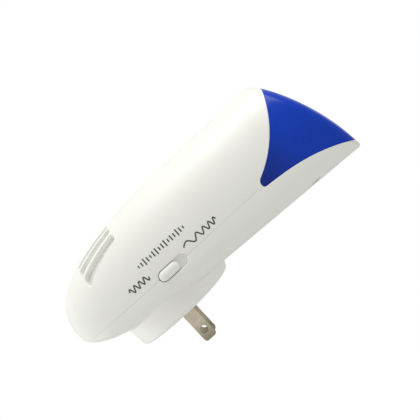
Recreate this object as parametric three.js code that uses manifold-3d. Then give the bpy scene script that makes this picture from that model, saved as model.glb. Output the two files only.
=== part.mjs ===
// Plug-in ultrasonic pest repeller with a night-light lens and a two-position slide switch.
// Millimetres. +Z is up, +Y points at the wall that the plug goes into, +X is the switch side.
// The origin is the centre of the plug boss's flat back face, midway between the two blades.

import * as THREE from 'three';
import { mergeVertices } from 'three/addons/utils/BufferGeometryUtils.js';
import { ParametricGeometry } from 'three/addons/geometries/ParametricGeometry.js';
import Module from 'manifold-3d';

const wasm = await Module();
wasm.setup();

// ---- Driving dimensions -------------------------------------------------------------------

// Housing.
const HOUSING_WIDTH = 57;
const HOUSING_DEPTH = 48.4;
const CROWN_TOP_Z = 105.2;
const NOSE_Z = -43.5;
const NOSE_FROM_SEAM = 3.9;
const BOSS_STANDOFF = 5;
const REAR_SHELL_DEPTH = 13.6;
const BACK_LEAN = 3.7;
const WALL = 2;
const SEAM_GAP = 0.3;
const FIT_GAP = 0.3;

// How the three outlines of the housing swell from the nose to their full size.
const WIDTH_FULL_Z = 60;
const WIDTH_POWER = 2.7;
const FRONT_FULL_Z = 50;
const FRONT_POWER = 2.7;
const REAR_FULL_Z = 25;
const REAR_POWER = 2.05;
const FRONT_SQUARENESS = 2.25;
const REAR_SQUARENESS = 3.8;
const NOSE_SETTLE = 14;
const ROW_BUNCHING = 2.2;

// Crown over the top.
const CROWN_RADIUS = 96.3;
const CROWN_PEAK_FROM_WALL = 3.4;
const CROWN_SIDE_DROP = 2.2;
const CROWN_EDGE_FRONT = 3.5;
const CROWN_EDGE_REAR = 1;

// Night-light lens, set into both shells.
const LENS_FRONT_LIP = 4.2;
const LENS_REAR_LIP = 3.8;
const LENS_TIP_DROP = 42.1;
const LENS_TIP_WIDTH = 4.3;
const LENS_TIP_LEAN = 0.8;
const LENS_FLANGE = 1.1;
const LENS_FRONT_BOW = { across: 0.72, up: 0.36 };
const LENS_REAR_BOW = { across: 0.1, up: 0.61 };
const LENS_TIP_FRONT_PULL = { across: 0.18, down: 0.42 };
const LENS_TIP_REAR_PULL = { across: 0.04, down: 0.56 };
const LENS_FLANGE_REACH = 1.8;

// Plug: two flat parallel blades of the ungrounded North American plug.
const BLADE_SPACING = 12.7;
const BLADE_WIDTH = 6.35;
const BLADE_THICKNESS = 1.5;
const BLADE_LENGTH = 17;
const BLADE_HOLE_DIAMETER = 3.4;
const BLADE_HOLE_FROM_FACE = 11.9;
const BLADE_TANG_WIDTH = 9;
const BLADE_TANG_DEPTH = 2.6;
const BLADE_TAIL = 5.4;
const BLADE_TIP_RADIUS = 1.5;
const BOSS_RADIUS = 24.5;
const BOSS_TOP_RISE = 1.2;
const BOSS_EDGE = 0.9;
const BOSS_FACE_THICKNESS = 2.2;
const BOSS_ROOT = 12.5;
const RETAINER_WIDTH = 24;
const RETAINER_HEIGHT = 30;
const RETAINER_THICKNESS = 3;

// Slide switch in the +X side.
const SLOT_CENTRE_Z = 10.3;
const SLOT_LENGTH = 15.2;
const SLOT_WIDTH = 5.4;
const KNOB_LENGTH = 10.4;
const KNOB_WIDTH = 4.5;
const KNOB_PROUD = 1.1;
const KNOB_END_GAP = 0.4;
const SHUTTER_THICKNESS = 1;
const SHUTTER_WIDTH = 8;
const SHUTTER_LAP = 1.1;
const STEM_SIZE = 3;
const STEM_ENGAGEMENT = 1.6;
const SWITCH_CAN_DEPTH = 5.4;
const SWITCH_CAN_WIDTH = 7.6;
const SWITCH_CAN_WALL = 0.5;
const SWITCH_BASE_THICKNESS = 1.1;
const ACTUATOR_LENGTH = 9;
const TERMINAL_PITCH = 4.7;
const TERMINAL_COUNT = 3;
const TERMINAL_WIDTH = 0.8;
const TERMINAL_THICKNESS = 0.5;
const TERMINAL_BEND = 1.6;

// Sound vents in the lower front.
const VENT_COUNT = 8;
const VENT_PITCH = 4.6;
const VENT_WIDTH = 3;
const VENT_TOP_Z = -0.3;
const VENT_BOTTOM_Z = -22.8;
const MESH_THICKNESS = 0.6;
const MESH_MARGIN = 1.6;

// Speaker behind the vents.
const SPEAKER_RADIUS = 14;
const SPEAKER_Z = -8;
const SPEAKER_SETBACK = 13.5;
const SPEAKER_DEPTH = 8.5;
const SPEAKER_EAR_PITCH = 34.6;
const SPEAKER_EAR_RADIUS = 3;
const SPEAKER_EAR_THICKNESS = 1.6;
const SPEAKER_SHEET = 1;
const SPEAKER_RIM_WIDTH = 2.2;
const PIEZO_RADIUS = 7;
const PIEZO_THICKNESS = 0.8;
const CONE_THICKNESS = 0.5;

// Circuit board, parallel to the back.
const BOARD_THICKNESS = 1.6;
const BOARD_WIDTH_SHARE = 0.6;
const BOARD_TOP_DROP = 32.2;
const BOARD_NOSE_RISE = 21;
const BOARD_FROM_SEAM = 4;
const BOARD_HOLE_INSET = 3;
const BOARD_CORNER_RADIUS = 1;

// Components on the board. Their places are shares of the board's half-width and height.
const TRANSFORMER = { width: 15, height: 12, depth: 12, right: 0.42, down: 0.17 };
const CHIP = { length: 9.6, width: 6.4, height: 3.6, right: -0.45, down: 0.19 };
const TRANSISTOR = { radius: 2.3, height: 5, rights: [-0.6, -0.2], down: 0.295 };
const DROPPER = { width: 14, height: 16, depth: 9, edge: 1.5, right: -0.5, down: 0.43 };
const SMOOTHER = { radius: 5, height: 15, right: 0.5, down: 0.337 };
const TIMER = { width: 6, height: 5, depth: 3, edge: 1, right: 0.5, down: 0.453 };
const RECTIFIER = { width: 8, height: 6.5, depth: 3.2, edge: 0.6, right: -0.5, down: 0.59 };
const RESISTOR = { radius: 1.8, length: 8, right: 0.1, down: 0.59 };

// Screws and the posts that take them.
const SCREW_SHAFT_RADIUS = 1.3;
const SCREW_HEAD_RADIUS = 2.6;
const SCREW_HEAD_HEIGHT = 1.7;
const POST_RADIUS = 3;
const HOUSING_POST_RADIUS = 4.2;
const TOP_SCREW_DROP = 25.2;
const TOP_SCREW_FROM_SIDE = 9;
const NOSE_SCREW_RISE = 10;
const HOUSING_SCREW_LENGTH = 12;
const SMALL_SCREW_LENGTH = 6;
const SCREW_SEAT = 3;
const SCREW_CROWN_SHARE = 0.7;
const RECESS_DEPTH_SHARE = 0.55;
const RECESS_REACH_SHARE = 0.6;

// Night-light lamps.
const LAMP_RADIUS = 2.5;
const LAMP_LENGTH = 8.6;
const LAMP_PITCH = 16;
const LAMP_LEAD = 4;
const LAMP_FLANGE_PROUD = 0.4;
const LAMP_FLANGE_THICKNESS = 1;

// Wires.
const WIRE_RADIUS = 0.7;
const WIRE_SIDES = 8;
const WIRE_STEPS = 12;
const MAINS_LEAD_RISE = 3.6;
const MAINS_LEAD_SPREAD = [1, 1.05, 1.3, 1.4];
const SPEAKER_LEAD_RISE = [0, 1, 4];
const SPEAKER_LEAD_SPREAD = [1, 1.1, 1.2];

// ---- Sizes worked out from the driving ones ----------------------------------------------

const HALF_WIDTH = HOUSING_WIDTH / 2;
const BACK_Y = -BOSS_STANDOFF;
const BACK_TOP_Y = BACK_Y + BACK_LEAN;
const FRONT_Y = BACK_Y - HOUSING_DEPTH;
const SEAM_Y = BACK_Y - REAR_SHELL_DEPTH;
const NOSE_Y = SEAM_Y - NOSE_FROM_SEAM;
const FAR = 2 * (CROWN_TOP_Z - NOSE_Z);
const BOARD_FRONT_Y = SEAM_Y + BOARD_FROM_SEAM;
const BOARD_BACK_Y = BOARD_FRONT_Y + BOARD_THICKNESS;
const BOARD_HALF_WIDTH = HALF_WIDTH * BOARD_WIDTH_SHARE;
const BOARD_TOP_Z = CROWN_TOP_Z - BOARD_TOP_DROP;
const BOARD_BOTTOM_Z = NOSE_Z + WALL + BOARD_NOSE_RISE;
const SCREW_HOLE_RADIUS = SCREW_SHAFT_RADIUS + FIT_GAP;
const SCREW_WELL_RADIUS = SCREW_HEAD_RADIUS + 2 * FIT_GAP;

// ---- Colours and finishes ------------------------------------------------------------------

const finish = (color, roughness, metalness) => () => (
  new THREE.MeshStandardMaterial({ color, roughness, metalness })
);
const WHITE_ABS = finish(0xf2f2ee, 0.45, 0);
const BLUE_LENS = finish(0x1040b0, 0.15, 0);
const PLATED_BRASS = finish(0xbdb199, 0.3, 1);
const STEEL = finish(0xa8abb0, 0.35, 1);
const BOARD_GREEN = finish(0x2f6b45, 0.5, 0);
const BLACK_PLASTIC = finish(0x1b1b1d, 0.5, 0);
const GREY_PLASTIC = finish(0x8d9094, 0.5, 0);
const CAPACITOR_BLUE = finish(0x23406e, 0.4, 0);
const FILM_RED = finish(0x9c3a2a, 0.4, 0);
const CERAMIC = finish(0xc98d3c, 0.5, 0);
const CLOTH = finish(0xe2e2dc, 0.9, 0);
const CONE_PAPER = finish(0x3a3a3c, 0.8, 0);
const CLEAR_EPOXY = finish(0xdfe8ff, 0.1, 0);
const RED_WIRE = finish(0xb02a20, 0.5, 0);
const BLACK_WIRE = finish(0x202020, 0.5, 0);

// ---- Solids ----------------------------------------------------------------------------------

// A closed geometry as a solid: shared corners merged and collapsed triangles left out.
function solid(geometry) {
  const bare = geometry.clone();
  bare.deleteAttribute('normal');
  bare.deleteAttribute('uv');
  const merged = mergeVertices(bare, 1e-4);
  const corners = merged.index.array;
  const kept = [];
  for (let i = 0; i < corners.length; i += 3) {
    const [a, b, c] = [corners[i], corners[i + 1], corners[i + 2]];
    if (a !== b && b !== c && c !== a) {
      kept.push(a, b, c);
    }
  }
  const vertProperties = new Float32Array(merged.attributes.position.array);
  const triVerts = new Uint32Array(kept);
  return new wasm.Manifold(new wasm.Mesh({ numProp: 3, vertProperties, triVerts }));
}

// A solid as a geometry that a mesh can show.
function shown(piece) {
  const mesh = piece.getMesh();
  const geometry = new THREE.BufferGeometry();
  geometry.setAttribute('position', new THREE.BufferAttribute(mesh.vertProperties, 3));
  geometry.setIndex(new THREE.BufferAttribute(mesh.triVerts, 1));
  geometry.computeVertexNormals();
  return geometry;
}

// A box between two corners.
function block(low, high) {
  const size = high.map((value, i) => value - low[i]);
  const middle = high.map((value, i) => (value + low[i]) / 2);
  return solid(new THREE.BoxGeometry(...size).translate(...middle));
}

// A round bar along Y from y0 to y1 about (x, z).
function bar(radius, x, z, y0, y1, sides = 20) {
  const geometry = new THREE.CylinderGeometry(radius, radius, y1 - y0, sides);
  return solid(geometry.translate(x, (y0 + y1) / 2, z));
}

// An outline drawn in X and Z, filled from y0 to y1.
function slabAlongY(shape, y0, y1, curveSegments = 6) {
  const options = { depth: y1 - y0, bevelEnabled: false, curveSegments };
  return new THREE.ExtrudeGeometry(shape, options).rotateX(Math.PI / 2).translate(0, y1, 0);
}

// An outline drawn in Y and Z, filled from x0 to x1.
function slabAlongX(shape, x0, x1, curveSegments = 6) {
  const options = { depth: x1 - x0, bevelEnabled: false, curveSegments };
  const turn = new THREE.Matrix4().makeBasis(
    new THREE.Vector3(0, 1, 0),
    new THREE.Vector3(0, 0, 1),
    new THREE.Vector3(1, 0, 0),
  );
  return new THREE.ExtrudeGeometry(shape, options).applyMatrix4(turn).translate(x0, 0, 0);
}

// A slot with round ends, length along the second axis, about (a, b).
function slotShape(a, b, width, length) {
  const radius = width / 2;
  const reach = length / 2 - radius;
  const shape = new THREE.Shape();
  shape.absarc(a, b + reach, radius, 0, Math.PI, false);
  shape.absarc(a, b - reach, radius, Math.PI, 2 * Math.PI, false);
  shape.closePath();
  return shape;
}

// A rectangle with round corners about (a, b).
function roundedShape(a, b, width, height, radius) {
  const [right, top] = [width / 2 - radius, height / 2 - radius];
  const shape = new THREE.Shape();
  shape.absarc(a + right, b + top, radius, 0, Math.PI / 2, false);
  shape.absarc(a - right, b + top, radius, Math.PI / 2, Math.PI, false);
  shape.absarc(a - right, b - top, radius, Math.PI, 1.5 * Math.PI, false);
  shape.absarc(a + right, b - top, radius, 1.5 * Math.PI, 2 * Math.PI, false);
  shape.closePath();
  return shape;
}

// A turned piece about the Y axis from a closed list of [radius, y] points.
function turned(points, sides) {
  const profile = points.map(([radius, y]) => new THREE.Vector2(radius, y));
  return solid(new THREE.LatheGeometry(profile, sides));
}

// A bent wire through a list of points.
function wire(points) {
  const section = new THREE.Shape();
  section.absarc(0, 0, WIRE_RADIUS, 0, 2 * Math.PI, false);
  const path = new THREE.CatmullRomCurve3(points.map((point) => new THREE.Vector3(...point)));
  const options = { steps: WIRE_STEPS, extrudePath: path, curveSegments: WIRE_SIDES / 2 };
  return new THREE.ExtrudeGeometry(section, options);
}

// ---- The housing's outer form ----------------------------------------------------------------

// Share of its full size that an outline has at height z.
function swell(z, fullZ, power, inset) {
  const below = Math.max(0, (fullZ - z) / (fullZ - NOSE_Z - inset));
  return Math.max(0, 1 - below ** power) ** (1 / power);
}

// The flat of the back at height z. It leans towards the wall above the boss.
function backY(z) {
  const share = THREE.MathUtils.clamp((z - REAR_FULL_Z) / (CROWN_TOP_Z - REAR_FULL_Z), 0, 1);
  return BACK_Y + BACK_LEAN * share;
}

// The housing's level section at height z, moved inwards by inset.
function sectionAt(z, inset) {
  const settled = THREE.MathUtils.smoothstep(z, NOSE_Z + inset, NOSE_Z + inset + NOSE_SETTLE);
  return {
    halfWidth: (HALF_WIDTH - inset) * swell(z, WIDTH_FULL_Z, WIDTH_POWER, inset),
    front: NOSE_Y + (FRONT_Y + inset - NOSE_Y) * swell(z, FRONT_FULL_Z, FRONT_POWER, inset),
    rear: NOSE_Y + (backY(z) - inset - NOSE_Y) * swell(z, REAR_FULL_Z, REAR_POWER, inset),
    middle: NOSE_Y + (SEAM_Y - NOSE_Y) * settled,
  };
}

// A point of that section. The front half is the one with a negative sine.
function outlinePoint(angle, z, inset) {
  const section = sectionAt(z, inset);
  const [sine, cosine] = [Math.sin(angle), Math.cos(angle)];
  const isFront = sine < 0;
  const power = 2 / (isFront ? FRONT_SQUARENESS : REAR_SQUARENESS);
  const edge = isFront ? section.front : section.rear;
  return {
    x: Math.sign(cosine) * section.halfWidth * Math.abs(cosine) ** power,
    y: section.middle + (edge - section.middle) * Math.abs(sine) ** power,
  };
}

// Height of the crown over a point.
function crownZ(x, y, inset = 0) {
  const away = y - CROWN_PEAK_FROM_WALL;
  const rise = Math.sqrt((CROWN_RADIUS - inset) ** 2 - away ** 2);
  return CROWN_TOP_Z - CROWN_RADIUS + rise - CROWN_SIDE_DROP * (x / HALF_WIDTH) ** 2;
}

// Radius of the edge between the wall and the crown, which tightens towards the wall side.
function crownEdge(y, inset) {
  const share = ((y - FRONT_Y) / (BACK_TOP_Y - FRONT_Y)) ** 2;
  return Math.max(CROWN_EDGE_FRONT + (CROWN_EDGE_REAR - CROWN_EDGE_FRONT) * share - inset, FIT_GAP);
}

// The closed form of the housing: wall, rounded edge and crown, moved inwards by inset.
// Its rows bunch towards the nose, where the wall turns the most.
function housingForm(inset, sides, wallRows, edgeRows, crownRows) {
  const rows = wallRows + edgeRows + crownRows;
  const low = NOSE_Z + inset;
  const centreY = (FRONT_Y + BACK_Y) / 2;
  const point = (u, v, target) => {
    const row = Math.round(v * rows);
    const angle = 2 * Math.PI * u;
    const rim = outlinePoint(angle, CROWN_TOP_Z, inset);
    const edge = crownEdge(rim.y, inset);
    if (row <= wallRows) {
      const shoulder = crownZ(rim.x, rim.y, inset) - edge;
      const z = low + (shoulder - low) * (row / wallRows) ** ROW_BUNCHING;
      const wall = outlinePoint(angle, z, inset);
      target.set(wall.x, wall.y, z);
      return;
    }
    const reach = Math.hypot(rim.x, rim.y - centreY);
    const turn = Math.min((row - wallRows) / edgeRows, 1) * Math.PI / 2;
    const inward = Math.max(row - wallRows - edgeRows, 0) / crownRows;
    const share = (1 - edge * (1 - Math.cos(turn)) / reach) * (1 - inward);
    const [x, y] = [rim.x * share, centreY + (rim.y - centreY) * share];
    target.set(x, y, crownZ(x, y, inset) - edge * (1 - Math.sin(turn)));
  };
  return solid(new ParametricGeometry(point, sides, rows));
}

// The lens's side outline in Y and Z, grown outwards by grow.
function lensShape(grow) {
  const frontY = FRONT_Y + LENS_FRONT_LIP;
  const rearY = BACK_TOP_Y - LENS_REAR_LIP;
  const tipZ = CROWN_TOP_Z - LENS_TIP_DROP;
  const tipFrontY = SEAM_Y - LENS_TIP_WIDTH / 2 - LENS_TIP_LEAN;
  const tipRearY = tipFrontY + LENS_TIP_WIDTH;
  const frontZ = crownZ(0, frontY);
  const rearZ = crownZ(0, rearY);
  const outline = new THREE.Shape();
  outline.moveTo(frontY, 2 * CROWN_TOP_Z);
  outline.lineTo(frontY, frontZ);
  outline.quadraticCurveTo(
    THREE.MathUtils.lerp(frontY, tipFrontY, LENS_FRONT_BOW.across),
    THREE.MathUtils.lerp(frontZ, tipZ, LENS_FRONT_BOW.up),
    tipFrontY,
    tipZ,
  );
  outline.bezierCurveTo(
    tipFrontY + LENS_TIP_FRONT_PULL.across * LENS_TIP_WIDTH,
    tipZ - LENS_TIP_FRONT_PULL.down * LENS_TIP_WIDTH,
    tipRearY - LENS_TIP_REAR_PULL.across * LENS_TIP_WIDTH,
    tipZ - LENS_TIP_REAR_PULL.down * LENS_TIP_WIDTH,
    tipRearY,
    tipZ,
  );
  outline.quadraticCurveTo(
    THREE.MathUtils.lerp(tipRearY, rearY, LENS_REAR_BOW.across),
    THREE.MathUtils.lerp(tipZ, rearZ, LENS_REAR_BOW.up),
    rearY,
    rearZ,
  );
  outline.lineTo(rearY, 2 * CROWN_TOP_Z);
  const points = outline.getPoints(8);
  const moved = points.map((point, i) => {
    const before = points[Math.max(i - 1, 0)];
    const after = points[Math.min(i + 1, points.length - 1)];
    const along = after.clone().sub(before).normalize();
    return new THREE.Vector2(point.x + along.y * grow, point.y - along.x * grow);
  });
  return new THREE.Shape(moved);
}

const lensZone = (grow) => solid(slabAlongX(lensShape(grow), -HOUSING_WIDTH, HOUSING_WIDTH));

const outerForm = housingForm(0, 44, 17, 3, 4);
const cavityForm = housingForm(WALL, 36, 14, 2, 3);

// Half-width of the housing at height z on the seam.
const sideX = (z) => sectionAt(z, 0).halfWidth;

// ---- Places where screws go --------------------------------------------------------------------

const HOUSING_SCREWS = [
  { name: 'housing_screw_right', x: HALF_WIDTH - TOP_SCREW_FROM_SIDE, z: CROWN_TOP_Z - TOP_SCREW_DROP },
  { name: 'housing_screw_left', x: TOP_SCREW_FROM_SIDE - HALF_WIDTH, z: CROWN_TOP_Z - TOP_SCREW_DROP },
  { name: 'housing_screw_nose', x: 0, z: NOSE_Z + NOSE_SCREW_RISE },
];
const boardScrewX = BOARD_HALF_WIDTH - BOARD_HOLE_INSET;
const boardScrewZ = [BOARD_TOP_Z - BOARD_HOLE_INSET, BOARD_BOTTOM_Z + BOARD_HOLE_INSET];
const BOARD_SCREWS = boardScrewZ.flatMap((z, row) => [-boardScrewX, boardScrewX].map((x, side) => (
  { name: `board_screw_${2 * row + side + 1}`, x, z }
)));
const RETAINER_SCREWS = [-1, 1].map((side, i) => (
  { name: `retainer_screw_${i + 1}`, x: 0, z: side * (RETAINER_HEIGHT / 2 - POST_RADIUS) }
));
const SPEAKER_SCREWS = [-1, 1].map((side, i) => (
  { name: `speaker_screw_${i + 1}`, x: 0, z: SPEAKER_Z + side * SPEAKER_EAR_PITCH / 2 }
));

const tangFrontY = -BOSS_FACE_THICKNESS - FIT_GAP - BLADE_TANG_DEPTH;
const retainerBackY = tangFrontY - FIT_GAP;
const retainerFrontY = retainerBackY - RETAINER_THICKNESS;
const speakerFrontY = FRONT_Y + SPEAKER_SETBACK;
const speakerBackY = speakerFrontY + SPEAKER_DEPTH;
const earFrontY = speakerFrontY + SPEAKER_DEPTH - SPEAKER_EAR_THICKNESS;
const wellFloorY = SEAM_Y + SCREW_SEAT;

// ---- Shells ------------------------------------------------------------------------------------

// The slot that the knob slides in, cut through the +X wall of both shells.
function knobSlot() {
  const shape = slotShape(SEAM_Y, SLOT_CENTRE_Z, SLOT_WIDTH, SLOT_LENGTH);
  const wallX = sideX(SLOT_CENTRE_Z);
  return solid(slabAlongX(shape, wallX - 3 * WALL, wallX + 2 * WALL));
}

// The vent slots, cut through the lower front wall.
function ventSlots() {
  const middleZ = (VENT_TOP_Z + VENT_BOTTOM_Z) / 2;
  const length = VENT_TOP_Z - VENT_BOTTOM_Z;
  const slots = [];
  for (let i = 0; i < VENT_COUNT; i += 1) {
    const x = (i - (VENT_COUNT - 1) / 2) * VENT_PITCH;
    const shape = slotShape(x, middleZ, VENT_WIDTH, length);
    slots.push(solid(slabAlongY(shape, 2 * FRONT_Y, speakerBackY, 4)));
  }
  return slots;
}

function frontShell() {
  const frontHalf = block([-FAR, -FAR, -FAR], [FAR, SEAM_Y - SEAM_GAP / 2, FAR]);
  const lining = housingForm(WALL / 2, 28, 10, 2, 3);
  let shell = outerForm.intersect(frontHalf).subtract(cavityForm).subtract(lensZone(FIT_GAP));
  for (const screw of HOUSING_SCREWS) {
    const post = bar(HOUSING_POST_RADIUS, screw.x, screw.z, FRONT_Y, SEAM_Y - SEAM_GAP / 2);
    shell = shell.add(post.intersect(lining));
  }
  for (const screw of SPEAKER_SCREWS) {
    const post = bar(POST_RADIUS, screw.x, screw.z, FRONT_Y, earFrontY - FIT_GAP);
    shell = shell.add(post.intersect(lining));
  }
  for (const screw of HOUSING_SCREWS) {
    const depth = HOUSING_SCREW_LENGTH + FIT_GAP;
    shell = shell.subtract(bar(SCREW_HOLE_RADIUS, screw.x, screw.z, wellFloorY - depth, SEAM_Y, 10));
  }
  for (const screw of SPEAKER_SCREWS) {
    const tip = earFrontY + SPEAKER_EAR_THICKNESS - SMALL_SCREW_LENGTH - FIT_GAP;
    shell = shell.subtract(bar(SCREW_HOLE_RADIUS, screw.x, screw.z, tip, earFrontY, 10));
  }
  for (const slot of ventSlots()) {
    shell = shell.subtract(slot);
  }
  return shell.subtract(knobSlot());
}

// Draws the upper half of a piece of this radius about Y out to the boss's oval.
function drawnUp(piece, radius) {
  const geometry = shown(piece);
  const places = geometry.attributes.position;
  for (let i = 0; i < places.count; i += 1) {
    const z = places.getZ(i);
    places.setZ(i, z > 0 ? z * (1 + BOSS_TOP_RISE / radius) : z);
  }
  return solid(geometry);
}

// Solid boss that carries the blades: round below and oval above.
function bossForm() {
  const rim = BOSS_RADIUS - BOSS_EDGE;
  const points = [[0, -BOSS_ROOT], [BOSS_RADIUS, -BOSS_ROOT], [BOSS_RADIUS, -BOSS_EDGE]];
  points.push([rim + BOSS_EDGE * Math.SQRT1_2, BOSS_EDGE * (Math.SQRT1_2 - 1)], [rim, 0], [0, 0]);
  return drawnUp(turned(points, 48), BOSS_RADIUS);
}

function rearShell() {
  const rearHalf = block([-FAR, SEAM_Y + SEAM_GAP / 2, -FAR], [FAR, FAR, FAR]);
  const inner = BOSS_RADIUS - WALL;
  const bossCavity = drawnUp(bar(inner, 0, 0, -BOSS_ROOT, -BOSS_FACE_THICKNESS, 40), inner);
  let shell = outerForm.intersect(rearHalf).add(bossForm().intersect(rearHalf));
  shell = shell.subtract(cavityForm).subtract(bossCavity).subtract(lensZone(FIT_GAP));
  for (const screw of HOUSING_SCREWS) {
    const column = bar(HOUSING_POST_RADIUS, screw.x, screw.z, SEAM_Y + SEAM_GAP / 2, 0);
    const shaft = bar(SCREW_HOLE_RADIUS, screw.x, screw.z, SEAM_Y, wellFloorY + FIT_GAP, 10);
    const well = bar(SCREW_WELL_RADIUS, screw.x, screw.z, wellFloorY, 0, 16);
    shell = shell.add(column.intersect(outerForm)).subtract(shaft).subtract(well);
  }
  for (const screw of BOARD_SCREWS) {
    const post = bar(POST_RADIUS, screw.x, screw.z, BOARD_BACK_Y + FIT_GAP, -WALL / 2, 14);
    const hole = bar(SCREW_HOLE_RADIUS, screw.x, screw.z, BOARD_BACK_Y,
      BOARD_FRONT_Y + SMALL_SCREW_LENGTH + FIT_GAP, 10);
    shell = shell.add(post.intersect(outerForm.add(bossForm()))).subtract(hole);
  }
  for (const screw of RETAINER_SCREWS) {
    const post = bar(POST_RADIUS, screw.x, screw.z, retainerBackY + FIT_GAP, -WALL / 2, 14);
    const hole = bar(SCREW_HOLE_RADIUS, screw.x, screw.z, retainerBackY, -WALL / 2, 10);
    shell = shell.add(post).subtract(hole);
  }
  for (const side of [-1, 1]) {
    const half = BLADE_THICKNESS / 2 + FIT_GAP;
    const x = side * BLADE_SPACING / 2;
    const tall = BLADE_WIDTH / 2 + FIT_GAP;
    shell = shell.subtract(block([x - half, -2 * WALL, -tall], [x + half, WALL, tall]));
  }
  return shell.subtract(knobSlot());
}

// The lens fills its opening and reaches behind the shells with a thinner flange.
function lens() {
  const inner = housingForm(WALL + FIT_GAP + LENS_FLANGE, 32, 10, 2, 3);
  const behindWall = housingForm(WALL + FIT_GAP, 32, 10, 2, 3);
  const face = outerForm.intersect(lensZone(0));
  const flange = behindWall.intersect(lensZone(LENS_FLANGE_REACH));
  const aboveBack = block([-FAR, -FAR, -FAR], [FAR, BACK_Y - WALL - FIT_GAP, FAR]);
  let piece = face.add(flange.intersect(aboveBack)).subtract(inner);
  for (const screw of HOUSING_SCREWS) {
    piece = piece.subtract(bar(HOUSING_POST_RADIUS + FIT_GAP, screw.x, screw.z, FRONT_Y, 0));
  }
  return piece;
}

// ---- Plug ------------------------------------------------------------------------------------

// A blade: a flat strip with round corners at its tip, a hole, and a wide tang and a tail inside.
function blade() {
  const half = BLADE_WIDTH / 2;
  const tang = BLADE_TANG_WIDTH / 2;
  const tangBackY = -BOSS_FACE_THICKNESS - FIT_GAP;
  const tailY = tangFrontY - BLADE_TAIL;
  const shape = new THREE.Shape();
  shape.moveTo(tailY, -half);
  shape.lineTo(tangFrontY, -half);
  shape.lineTo(tangFrontY, -tang);
  shape.lineTo(tangBackY, -tang);
  shape.lineTo(tangBackY, -half);
  const cornerY = BLADE_LENGTH - BLADE_TIP_RADIUS;
  const cornerZ = half - BLADE_TIP_RADIUS;
  shape.absarc(cornerY, -cornerZ, BLADE_TIP_RADIUS, -Math.PI / 2, 0, false);
  shape.absarc(cornerY, cornerZ, BLADE_TIP_RADIUS, 0, Math.PI / 2, false);
  shape.lineTo(tangBackY, half);
  shape.lineTo(tangBackY, tang);
  shape.lineTo(tangFrontY, tang);
  shape.lineTo(tangFrontY, half);
  shape.lineTo(tailY, half);
  shape.closePath();
  const hole = new THREE.Path();
  hole.absarc(BLADE_HOLE_FROM_FACE, 0, BLADE_HOLE_DIAMETER / 2, 0, 2 * Math.PI, true);
  shape.holes.push(hole);
  return slabAlongX(shape, -BLADE_THICKNESS / 2, BLADE_THICKNESS / 2);
}

// The bar that clamps both blades against the inside of the boss.
function bladeRetainer() {
  const shape = roundedShape(0, 0, RETAINER_WIDTH, RETAINER_HEIGHT, POST_RADIUS);
  let plate = solid(slabAlongY(shape, retainerFrontY, retainerBackY, 4));
  for (const side of [-1, 1]) {
    const half = BLADE_THICKNESS / 2 + FIT_GAP;
    const x = side * BLADE_SPACING / 2;
    const tall = BLADE_WIDTH / 2 + FIT_GAP;
    plate = plate.subtract(block([x - half, -FAR, -tall], [x + half, 0, tall]));
  }
  for (const screw of RETAINER_SCREWS) {
    plate = plate.subtract(bar(SCREW_HOLE_RADIUS, screw.x, screw.z, -FAR, 0, 10));
  }
  return plate;
}

// ---- Screws ------------------------------------------------------------------------------------

// A pan-head screw about Y with a cross recess. Its seat is at y = 0, and its tip points along Y
// the way that toward gives: -1 or +1.
function screw(length, toward) {
  const [head, height, shaft] = [SCREW_HEAD_RADIUS, SCREW_HEAD_HEIGHT, SCREW_SHAFT_RADIUS];
  const points = [[0, -length], [shaft / 2, -length], [shaft, shaft - length], [shaft, 0]];
  points.push([head, 0], [head, height / 2], [head * SCREW_CROWN_SHARE, height], [0, height]);
  const floor = height * (1 - RECESS_DEPTH_SHARE);
  let piece = turned(points, 12);
  for (const [wide, tall] of [[head, SCREW_SHAFT_RADIUS / 2], [SCREW_SHAFT_RADIUS / 2, head]]) {
    const [x, z] = [wide * RECESS_REACH_SHARE, tall * RECESS_REACH_SHARE];
    piece = piece.subtract(block([-x, floor, -z], [x, FAR, z]));
  }
  const geometry = shown(piece);
  return toward < 0 ? geometry : geometry.rotateZ(Math.PI);
}

// ---- Slide switch --------------------------------------------------------------------------

const knobCentreZ = SLOT_CENTRE_Z - SLOT_LENGTH / 2 + KNOB_END_GAP + KNOB_LENGTH / 2;
const knobTravel = SLOT_LENGTH - KNOB_LENGTH - 2 * KNOB_END_GAP;
const shutterLowZ = SLOT_CENTRE_Z - SLOT_LENGTH / 2 - SHUTTER_LAP - knobTravel;
const shutterHighZ = SLOT_CENTRE_Z + SLOT_LENGTH / 2 + SHUTTER_LAP;
const shutterOuterX = sideX(shutterLowZ) - WALL - 3 * FIT_GAP;
const shutterInnerX = shutterOuterX - SHUTTER_THICKNESS;
const canOuterX = shutterInnerX - 2 * FIT_GAP;
const canInnerX = canOuterX - SWITCH_CAN_DEPTH;
const canHalfLength = (ACTUATOR_LENGTH + knobTravel) / 2 + SWITCH_CAN_WALL + 2 * KNOB_END_GAP;
const blockOuterX = canOuterX - SWITCH_CAN_WALL - FIT_GAP;
const blockInnerX = (canOuterX + canInnerX) / 2;

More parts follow.
